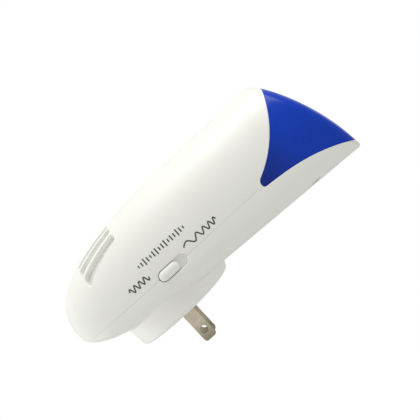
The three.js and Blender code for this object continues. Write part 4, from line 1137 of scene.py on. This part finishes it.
def add_node(tree, kind, settings=None, inputs=None, links=None):
    """Adds one node, with its settings, its input values or sockets, and its links."""
    node = tree.nodes.new(kind)
    for name, value in (settings or {}).items():
        setattr(node, name, value)
    for name, value in {**(inputs or {}), **(links or {})}.items():
        if isinstance(value, bpy.types.NodeSocket):
            tree.links.new(value, node.inputs[name])
        else:
            node.inputs[name].default_value = value
    return node


def start_material(name):
    """An empty material with an object-space position in millimetres."""
    material = bpy.data.materials.new(name)
    material.use_nodes = True
    tree = material.node_tree
    tree.nodes.clear()
    place = add_node(tree, "ShaderNodeTexCoord").outputs["Object"]
    scale = add_node(tree, "ShaderNodeVectorMath", {"operation": "SCALE"}, {"Scale": 1 / MM}, {0: place})
    return tree, scale.outputs[0]


def stretched(tree, position, scale):
    """The position, squeezed along the axes so that a pattern runs along one of them."""
    mapping = add_node(tree, "ShaderNodeMapping", {}, {"Scale": scale}, {"Vector": position})
    return mapping.outputs[0]


def noise(tree, position, size_mm, detail=2):
    """Noise whose grains are about this many millimetres across."""
    inputs = {"Scale": 1 / size_mm, "Detail": detail}
    return add_node(tree, "ShaderNodeTexNoise", {}, inputs, {"Vector": position}).outputs["Fac"]


def ramp(tree, factor, low, high):
    """A factor turned to a range of numbers."""
    inputs = {"From Min": 0.3, "From Max": 0.7, "To Min": low, "To Max": high}
    return add_node(tree, "ShaderNodeMapRange", {}, inputs, {"Value": factor}).outputs[0]


def blend_colours(tree, factor, first, second):
    """Two colours mixed by a factor."""
    node = add_node(tree, "ShaderNodeMix", {"data_type": "RGBA"}, {6: first, 7: second}, {0: factor})
    return node.outputs[2]


def finish_material(tree, colour, roughness, height=None, depth_mm=0.0, **values):
    """The surface shader, with its colour, roughness and bump from nodes."""
    links = {"Base Color": colour, "Roughness": roughness}
    if height is not None:
        inputs = {"Strength": 1, "Distance": depth_mm * MM}
        links["Normal"] = add_node(tree, "ShaderNodeBump", {}, inputs, {"Height": height}).outputs[0]
    names = {key: key.replace("_", " ").title().replace("Ior", "IOR") for key in values}
    inputs = {names[key]: value for key, value in values.items()}
    shader = add_node(tree, "ShaderNodeBsdfPrincipled", {}, inputs, links)
    add_node(tree, "ShaderNodeOutputMaterial", {}, {}, {"Surface": shader.outputs[0]})


def moulded(name, main, shade, roughness, grain_mm, depth_mm, **values):
    """A moulded plastic: eroded-steel grain, flow marks in the colour and uneven gloss."""
    tree, position = start_material(name)
    colour = blend_colours(tree, noise(tree, position, 18, 1), linear(main), linear(shade))
    gloss = ramp(tree, noise(tree, position, 7, 3), roughness - 0.04, roughness + 0.05)
    finish_material(tree, colour, gloss, noise(tree, position, grain_mm), depth_mm, ior=1.53, **values)


def make_housing_abs(colours):
    """White moulded ABS: a fine even grain that spreads highlights over the curves."""
    # Spark-eroded moulds leave grains of about 0.1 mm, drawn at 0.35 mm so that they show.
    moulded("abs_moulded_white", "#F3F3EC", "#EEEEE6", colours.shell_roughness, 0.35, 0.004)
    moulded("abs_moulded_knob", "#F6F6F1", "#F0F0EA", colours.shell_roughness - 0.08, 0.3, 0.002)


def make_lens_polycarbonate(colours):
    """Deep blue polycarbonate: glossy, with the colour slightly cloudy under the surface, and painted
    shade towards the lower tips.
    """
    tree, position = start_material("polycarbonate_blue")
    cloud = noise(tree, position, 22, 2)
    clear = blend_colours(tree, cloud, linear("#0034A8"), (*colours.lens_clear, 1))
    height = add_node(tree, "ShaderNodeSeparateXYZ", {}, {}, {0: position}).outputs["Z"]
    # The tips shade off, because little light gets down between the two walls there.
    inputs = {"From Min": LENS_LOW.z, "From Max": LENS_LOW.z + 24}
    rise = add_node(tree, "ShaderNodeMapRange", {}, inputs, {"Value": height}).outputs[0]
    colour = blend_colours(tree, rise, (*colours.lens_tip_painted_shade, 1), clear)
    gloss = ramp(tree, noise(tree, position, 5, 3), 0.24, 0.32)
    ripple = noise(tree, position, 9, 0)
    finish_material(tree, colour, gloss, ripple, 0.02, ior=1.58, specular_ior_level=0.18)


def make_blade_brass(colours):
    """Nickel-plated brass strip: warm grey rolled faces that turn darker towards the tip, and painted
    shade on the cut edges.
    """
    tree, position = start_material("brass_nickel_plated")
    lines = noise(tree, stretched(tree, position, (4, 0.12, 4)), 0.5, 3)
    patina = noise(tree, position, 3.5, 3)
    face = blend_colours(tree, patina, linear("#F3E9D4"), linear("#CFC3A8"))
    # The faces turn darker over the last 9 mm towards the tip.
    along = add_node(tree, "ShaderNodeSeparateXYZ", {}, {0: position}).outputs["Y"]
    inputs = {"Value": along, "From Min": BLADE_HIGH.y - 9, "From Max": BLADE_HIGH.y, "To Max": 0.75}
    tip_darkening = add_node(tree, "ShaderNodeMapRange", {}, inputs).outputs[0]
    darker_at_tip = blend_colours(tree, tip_darkening, face, linear("#8C8468"))
    # Painted shade: the mask named plated is 1 on faces that face along X and 0 on the cut edges, which
    # are painted a near-black shade instead of the plated colour.
    normal = add_node(tree, "ShaderNodeTexCoord").outputs["Normal"]
    facing = add_node(tree, "ShaderNodeSeparateXYZ", {}, {0: normal}).outputs["X"]
    flat = add_node(tree, "ShaderNodeMath", {"operation": "ABSOLUTE"}, {0: facing}).outputs[0]
    inputs = {"Value": flat, "From Min": 0.5, "From Max": 0.9}
    plated = add_node(tree, "ShaderNodeMapRange", {}, inputs).outputs[0]
    colour = blend_colours(tree, plated, linear("#37322A"), darker_at_tip)
    finish_material(tree, colour, ramp(tree, lines, 0.24, 0.4), lines, 0.006, metallic=1.0)


def make_screw_steel(colours):
    """Zinc-plated steel: cool bright metal with a fine crystalline bloom."""
    tree, position = start_material("steel_zinc_plated")
    bloom = noise(tree, position, 0.6, 3)
    colour = blend_colours(tree, bloom, linear("#C3C7CC"), linear("#A4A9B0"))
    finish_material(tree, colour, ramp(tree, bloom, 0.28, 0.42), bloom, 0.003, metallic=1.0)


def make_mesh_cloth(colours):
    """White woven polyester mesh behind the vents, threads 0.4 mm apart."""
    tree, position = start_material("polyester_mesh_woven")
    threads = []
    for axis in ("X", "Z"):
        # A wave texture has one thread in every 2 pi / 20 of its scaled length.
        settings = {"wave_type": "BANDS", "bands_direction": axis}
        inputs = {"Scale": math.pi / 10 / 0.4, "Distortion": 0.6}
        wave = add_node(tree, "ShaderNodeTexWave", settings, inputs, {"Vector": position})
        threads.append(wave.outputs["Fac"])
    crossed = {0: threads[0], 1: threads[1]}
    weave = add_node(tree, "ShaderNodeMath", {"operation": "MAXIMUM"}, {}, crossed)
    colour = blend_colours(tree, weave.outputs[0], linear("#DEDED8"), linear("#FAFAF7"))
    gloss = ramp(tree, weave.outputs[0], 0.85, 0.7)
    finish_material(tree, colour, gloss, weave.outputs[0], 0.12, sheen_weight=0.2)


def make_ink(colours):
    """Dark grey pad-printing ink: matt, a little thin where the pad lifted."""
    tree, position = start_material("ink_pad_print_grey")
    thin = noise(tree, position, 0.5, 2)
    colour = blend_colours(tree, thin, linear("#3F403E"), linear("#565754"))
    finish_material(tree, colour, ramp(tree, thin, 0.55, 0.7), thin, 0.004, ior=1.5)


def make_board_laminate(colours):
    """Green solder mask over glass laminate, with lighter tracks 1.6 mm apart."""
    tree, position = start_material("glass_laminate_green")
    settings = {"offset": 0.5, "squash": 1.0}
    inputs = {
        "Scale": 0.18,
        "Color1": linear("#2F7048"),
        "Color2": linear("#296340"),
        "Mortar": linear("#4F9563"),
        "Mortar Size": 0.09,
    }
    flat = stretched(tree, position, (1, 1, 1))
    tracks = add_node(tree, "ShaderNodeTexBrick", settings, inputs, {"Vector": flat})
    gloss = ramp(tree, noise(tree, position, 2), 0.3, 0.42)
    finish_material(tree, tracks.outputs["Color"], gloss, tracks.outputs["Fac"], 0.03, ior=1.5)


def make_inner_plastics(colours):
    """Plastics of the inner pieces: epoxy, phenolic, nylon, sleeve, paper and PVC."""
    moulded("epoxy_moulded_black", "#1D1D1F", "#28282A", 0.5, 0.15, 0.004)
    moulded("nylon_moulded_grey", "#8D9094", "#7E8185", 0.5, 0.3, 0.004)
    moulded("pet_sleeve_blue", "#1F3C70", "#28498A", 0.28, 0.8, 0.004)
    moulded("epoxy_dipped_red", "#A33A29", "#8C3020", 0.3, 1.2, 0.02)
    moulded("phenolic_brown", "#B9813C", "#A5702F", 0.45, 0.4, 0.006)
    moulded("paper_pressed_black", "#3A3A3C", "#2E2E30", 0.85, 0.5, 0.03)
    moulded("pvc_red", "#B02A20", "#9C241B", 0.42, 0.8, 0.004)
    moulded("pvc_black", "#1E1E1E", "#282828", 0.42, 0.8, 0.004)


def make_lamp_epoxy(colours):
    """Clear epoxy of the lamps: water-clear with faint flow lines."""
    tree, position = start_material("epoxy_clear")
    flow = noise(tree, position, 1.5, 1)
    colour = blend_colours(tree, flow, linear("#F4F8FF"), linear("#E2ECFF"))
    gloss = ramp(tree, flow, 0.04, 0.1)
    finish_material(tree, colour, gloss, flow, 0.004, ior=1.54, transmission_weight=0.85)


INNER_FINISHES = {
    "polyester_mesh_woven": ["dust_mesh"],
    "nylon_moulded_grey": ["blade_retainer"],
    "steel_zinc_plated": [
        "retainer_screw_1", "retainer_screw_2", "switch_can", "speaker_basket", "speaker_screw_1",
        "speaker_screw_2", "board_screw_1", "board_screw_2", "board_screw_3", "board_screw_4",
    ],
    "pvc_black": ["live_lead", "speaker_lead_2"],
    "pvc_red": ["neutral_lead", "speaker_lead_1"],
    "phenolic_brown": ["switch_base", "timing_capacitor", "fusible_resistor"],
    "brass_nickel_plated": [
        "switch_terminal_1", "switch_terminal_2", "switch_terminal_3", "switch_contact", "piezo_disc",
    ],
    "epoxy_moulded_black": [
        "switch_actuator", "controller_chip", "driver_transistor_1", "driver_transistor_2",
        "bridge_rectifier",
    ],
    "paper_pressed_black": ["speaker_cone"],
    "glass_laminate_green": ["main_board"],
    "epoxy_dipped_red": ["output_transformer", "dropper_capacitor"],
    "pet_sleeve_blue": ["smoothing_capacitor"],
    "epoxy_clear": ["night_lamp_right", "night_lamp_left"],
}


# ---- Stage -------------------------------------------------------------------------------------

def make_camera(stage):
    """A long lens at the side of the object, rolled so that the object lies aslant."""
    azimuth, elevation, roll = (math.radians(angle) for angle in stage.view_angles)
    aim = Vector(stage.aim)
    away = Vector((
        math.cos(elevation) * math.cos(azimuth),
        math.cos(elevation) * math.sin(azimuth),
        math.sin(elevation),
    ))
    level = (-away).cross(Vector((0, 0, 1))).normalized()
    upright = level.cross(-away)
    right = level * math.cos(roll) + upright * math.sin(roll)
    up = upright * math.cos(roll) - level * math.sin(roll)
    data = bpy.data.cameras.new("camera")
    data.lens = stage.lens
    data.sensor_width = 36
    data.shift_x, data.shift_y = stage.shift
    data.clip_start, data.clip_end = 0.01, 20
    camera = bpy.data.objects.new("camera", data)
    camera.matrix_world = Matrix((
        (right.x, up.x, away.x, 0),
        (right.y, up.y, away.y, 0),
        (right.z, up.z, away.z, 0),
        (0, 0, 0, 1),
    ))
    camera.location = aim + away * stage.distance
    bpy.context.scene.collection.objects.link(camera)
    bpy.context.scene.camera = camera


def add_light(name, place, size, power, tint=(1, 1, 1)):
    """A square soft light that faces the object."""
    data = bpy.data.lights.new(name, "AREA")
    data.size = size
    data.energy = power
    data.color = tint
    light = bpy.data.objects.new(name, data)
    light.location = place
    light.rotation_mode = "QUATERNION"
    light.rotation_quaternion = (Vector((0, -0.03, 0.03)) - light.location).to_track_quat("-Z", "Y")
    bpy.context.scene.collection.objects.link(light)
    return light


# Shares of the surround's light on the front side and on the wall side.
SURROUND_FRONT, SURROUND_REAR = 1.08, 1.04


def make_stage(stage):
    """A pale floor, a pale surround and three soft lights."""
    bm = bmesh.new()
    bmesh.ops.create_grid(bm, x_segments=8, y_segments=8, size=stage.floor_size / 2 / MM)
    bmesh.ops.translate(bm, vec=(0, 0, stage.floor_height / MM), verts=bm.verts)
    tree, position = start_material("paper_backdrop_white")
    grain = noise(tree, position, 40, 2)
    colour = blend_colours(tree, grain, linear("#FDFDFD"), linear("#FBFBFB"))
    finish_material(tree, colour, ramp(tree, grain, 0.85, 0.95), grain, 0.01)
    floor = object_from(bm, "floor", "paper_backdrop_white")
    world = bpy.data.worlds.new("surround")
    world.use_nodes = True
    tree = world.node_tree
    # The backdrop is seen white, and lights the object only as much as the surround says.
    seen = add_node(tree, "ShaderNodeLightPath").outputs["Is Camera Ray"]
    # Away from the camera's rays it is brighter on the front side than on the wall side.
    way = add_node(tree, "ShaderNodeTexCoord").outputs["Generated"]
    side = add_node(tree, "ShaderNodeSeparateXYZ", {}, {}, {0: way})
    front, rear = stage.surround * SURROUND_FRONT, stage.surround * SURROUND_REAR
    shares = {"From Min": -1, "From Max": 1, "To Min": front, "To Max": rear}
    fall = add_node(tree, "ShaderNodeMapRange", {}, shares, {"Value": side.outputs["Y"]}).outputs[0]
    strength = add_node(tree, "ShaderNodeMapRange", {}, {"To Max": 1}, {"Value": seen, "To Min": fall})
    surround = tree.nodes["Background"]
    surround.inputs["Color"].default_value = (1, 1, 1, 1)
    tree.links.new(strength.outputs[0], surround.inputs["Strength"])
    bpy.context.scene.world = world
    bpy.context.scene.view_settings.view_transform = "Standard"
    add_light("key", stage.key_place, 0.6, stage.key_power)
    add_light("fill", stage.fill_place, 0.8, stage.fill_power)
    over_floor = (0, 0, stage.floor_height + stage.floor_size / 12)
    wash = add_light("floor_wash", over_floor, stage.floor_size * 1.5, stage.floor_power)
    wash.rotation_quaternion = (1, 0, 0, 0)
    wash.visible_camera = False


# ---- Add-on ------------------------------------------------------------------------------------

class RepellerSizes(PropertyGroup):
    """Sizes of the finish, in millimetres."""

    edge_radius: FloatProperty(
        name="Edge radius", description="Radius of the shells' edges", default=0.42, min=0.05,
    )
    rim_radius: FloatProperty(
        name="Rim radius", description="Edge radius around the lens", default=0.2, min=0.05,
    )
    lens_radius: FloatProperty(
        name="Lens edge", description="Radius of the lens's edge", default=0.1, min=0.05,
    )
    lens_recess: FloatProperty(
        name="Lens recess", description="How far the lens is sunk", default=0.08, min=0,
    )
    seam_radius: FloatProperty(
        name="Seam radius", description="Radius along the seam", default=0.09, min=0.02,
    )
    seam_gap: FloatProperty(
        name="Seam gap", description="Gap between the mouldings", default=0.03, min=0.01,
    )
    blade_edge: FloatProperty(
        name="Blade edge", description="Radius of the blades' edges", default=0.16, min=0.02,
    )
    stroke: FloatProperty(
        name="Stroke", description="Width of the wave marks' lines", default=0.62, min=0.1,
    )
    ink_thickness: FloatProperty(
        name="Ink", description="Height of the ink above the wall", default=0.04, min=0.01,
    )


class RepellerColours(PropertyGroup):
    """Colours and gloss that a user would change."""

    # Painted shade: this darker colour is painted on the lens's lower tips, where little light gets down
    # between the two walls.
    lens_tip_painted_shade: FloatVectorProperty(
        name="Lens, deep", description="The lens's darker colour", subtype="COLOR",
        size=3, min=0, max=1, default=linear("#0B2678")[:3],
    )
    lens_clear: FloatVectorProperty(
        name="Lens, clear", description="The lens's lighter colour", subtype="COLOR",
        size=3, min=0, max=1, default=linear("#003FC0")[:3],
    )
    shell_roughness: FloatProperty(
        name="Shell roughness", description="Roughness of the white mouldings",
        default=0.42, min=0, max=1,
    )


class RepellerStage(PropertyGroup):
    """The camera and the lights."""

    view_angles: FloatVectorProperty(
        name="View", description="Azimuth, elevation and roll in degrees",
        size=3, default=(-3.05, 3.34, 47.28),
    )
    aim: FloatVectorProperty(
        name="Aim", description="Point that the camera looks at", subtype="XYZ", unit="LENGTH",
        size=3, default=(0, -0.025, 0.03),
    )
    distance: FloatProperty(
        name="Distance", description="From camera to aim", unit="LENGTH", default=0.5,
    )
    lens: FloatProperty(name="Lens", description="Focal length in millimetres", default=96.6)
    shift: FloatVectorProperty(
        name="Shift", description="Lens shift", size=2, default=(0.0302, 0.0247),
    )
    floor_height: FloatProperty(
        name="Floor", description="Height of the floor", unit="LENGTH", default=-0.9,
    )
    surround: FloatProperty(
        name="Surround", description="Light from the pale surround", default=0.57,
    )
    key_place: FloatVectorProperty(
        name="Key place", description="Where the key light is", subtype="XYZ", unit="LENGTH",
        size=3, default=(0.08, -1.0, 0.25),
    )
    fill_place: FloatVectorProperty(
        name="Fill place", description="Where the fill light is", subtype="XYZ", unit="LENGTH",
        size=3, default=(0.4, 0.3, 1.0),
    )
    key_power: FloatProperty(
        name="Key light", description="Power of the key light in watts", default=6.0,
    )
    fill_power: FloatProperty(
        name="Fill light", description="Power of the fill light in watts", default=1.4,
    )
    floor_size: FloatProperty(
        name="Floor size", description="Side of the floor", unit="LENGTH", default=1.2,
    )
    floor_power: FloatProperty(
        name="Floor light", description="Power that whitens the floor", default=10.0,
    )


class REPELLER_OT_stage(Operator):
    """Sets the camera, the floor and the lights"""

    bl_idname = "repeller.stage"
    bl_label = "Stage"

    def execute(self, context):
        make_camera(context.scene.repeller_stage)
        make_stage(context.scene.repeller_stage)
        return {"FINISHED"}


class REPELLER_OT_materials(Operator):
    """Makes every material of the repeller"""

    bl_idname = "repeller.materials"
    bl_label = "Materials"

    def execute(self, context):
        colours = context.scene.repeller_colours
        makers = (
            make_housing_abs, make_lens_polycarbonate, make_blade_brass, make_screw_steel,
            make_mesh_cloth, make_ink, make_board_laminate, make_inner_plastics, make_lamp_epoxy,
        )
        for maker in makers:
            maker(colours)
        return {"FINISHED"}


class REPELLER_OT_front_shell(Operator):
    """Builds the front shell with its vents"""

    bl_idname = "repeller.front_shell"
    bl_label = "Front shell"

    def execute(self, context):
        make_front_shell(context.scene.repeller_sizes)
        return {"FINISHED"}


class REPELLER_OT_rear_shell(Operator):
    """Builds the rear shell with its boss and screw wells"""

    bl_idname = "repeller.rear_shell"
    bl_label = "Rear shell"

    def execute(self, context):
        make_rear_shell(context.scene.repeller_sizes)
        return {"FINISHED"}


class REPELLER_OT_lens(Operator):
    """Builds the night-light lens"""

    bl_idname = "repeller.lens"
    bl_label = "Lens"

    def execute(self, context):
        make_lens(context.scene.repeller_sizes)
        return {"FINISHED"}


class REPELLER_OT_knob(Operator):
    """Builds the slide switch's knob"""

    bl_idname = "repeller.knob"
    bl_label = "Knob"

    def execute(self, context):
        make_knob()
        return {"FINISHED"}


class REPELLER_OT_blades(Operator):
    """Builds the two plug blades"""

    bl_idname = "repeller.blades"
    bl_label = "Blades"

    def execute(self, context):
        make_blades(context.scene.repeller_sizes)
        return {"FINISHED"}


class REPELLER_OT_screws(Operator):
    """Builds the housing screws"""

    bl_idname = "repeller.screws"
    bl_label = "Screws"

    def execute(self, context):
        make_screws()
        return {"FINISHED"}


class REPELLER_OT_marks(Operator):
    """Prints the three marks on the side"""

    bl_idname = "repeller.marks"
    bl_label = "Marks"

    def execute(self, context):
        make_marks(context.scene.repeller_sizes)
        return {"FINISHED"}


class REPELLER_OT_inner_pieces(Operator):
    """Gives the pieces inside the housing their materials"""

    bl_idname = "repeller.inner_pieces"
    bl_label = "Inner pieces"

    def execute(self, context):
        for material, nodes in INNER_FINISHES.items():
            for node in nodes:
                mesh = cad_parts[node].data
                mesh.materials.clear()
                mesh.materials.append(bpy.data.materials[material])
        return {"FINISHED"}


class REPELLER_PT_panel(Panel):
    """Lists the repeller's sizes, colours and operators"""

    bl_idname = "REPELLER_PT_panel"
    bl_label = "Pest repeller"
    bl_space_type = "VIEW_3D"
    bl_region_type = "UI"
    bl_category = "Repeller"

    def draw(self, context):
        scene = context.scene
        for group in (scene.repeller_sizes, scene.repeller_colours, scene.repeller_stage):
            box = self.layout.box()
            for name in group.bl_rna.properties.keys():
                if name not in ("rna_type", "name"):
                    box.prop(group, name)
        for operator in OPERATORS:
            self.layout.operator(operator.bl_idname)


OPERATORS = (
    REPELLER_OT_stage, REPELLER_OT_materials, REPELLER_OT_front_shell, REPELLER_OT_rear_shell,
    REPELLER_OT_lens, REPELLER_OT_knob, REPELLER_OT_blades, REPELLER_OT_screws, REPELLER_OT_marks,
    REPELLER_OT_inner_pieces,
)
GROUPS = {"sizes": RepellerSizes, "colours": RepellerColours, "stage": RepellerStage}


def register():
    """Registers the groups, the operators and the panel."""
    for name, group in GROUPS.items():
        bpy.utils.register_class(group)
        setattr(bpy.types.Scene, "repeller_" + name, PointerProperty(type=group))
    for cls in (*OPERATORS, REPELLER_PT_panel):
        bpy.utils.register_class(cls)


def unregister():
    """Takes them out again."""
    for cls in (REPELLER_PT_panel, *reversed(OPERATORS)):
        bpy.utils.unregister_class(cls)
    for name, group in GROUPS.items():
        delattr(bpy.types.Scene, "repeller_" + name)
        bpy.utils.unregister_class(group)


def main():
    """Builds the whole repeller."""
    register()
    bpy.ops.repeller.stage()
    bpy.ops.repeller.materials()
    bpy.ops.repeller.front_shell()
    bpy.ops.repeller.rear_shell()
    bpy.ops.repeller.lens()
    bpy.ops.repeller.knob()
    bpy.ops.repeller.blades()
    bpy.ops.repeller.screws()
    bpy.ops.repeller.marks()
    bpy.ops.repeller.inner_pieces()
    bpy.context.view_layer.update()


if __name__ == "__main__":
    main()
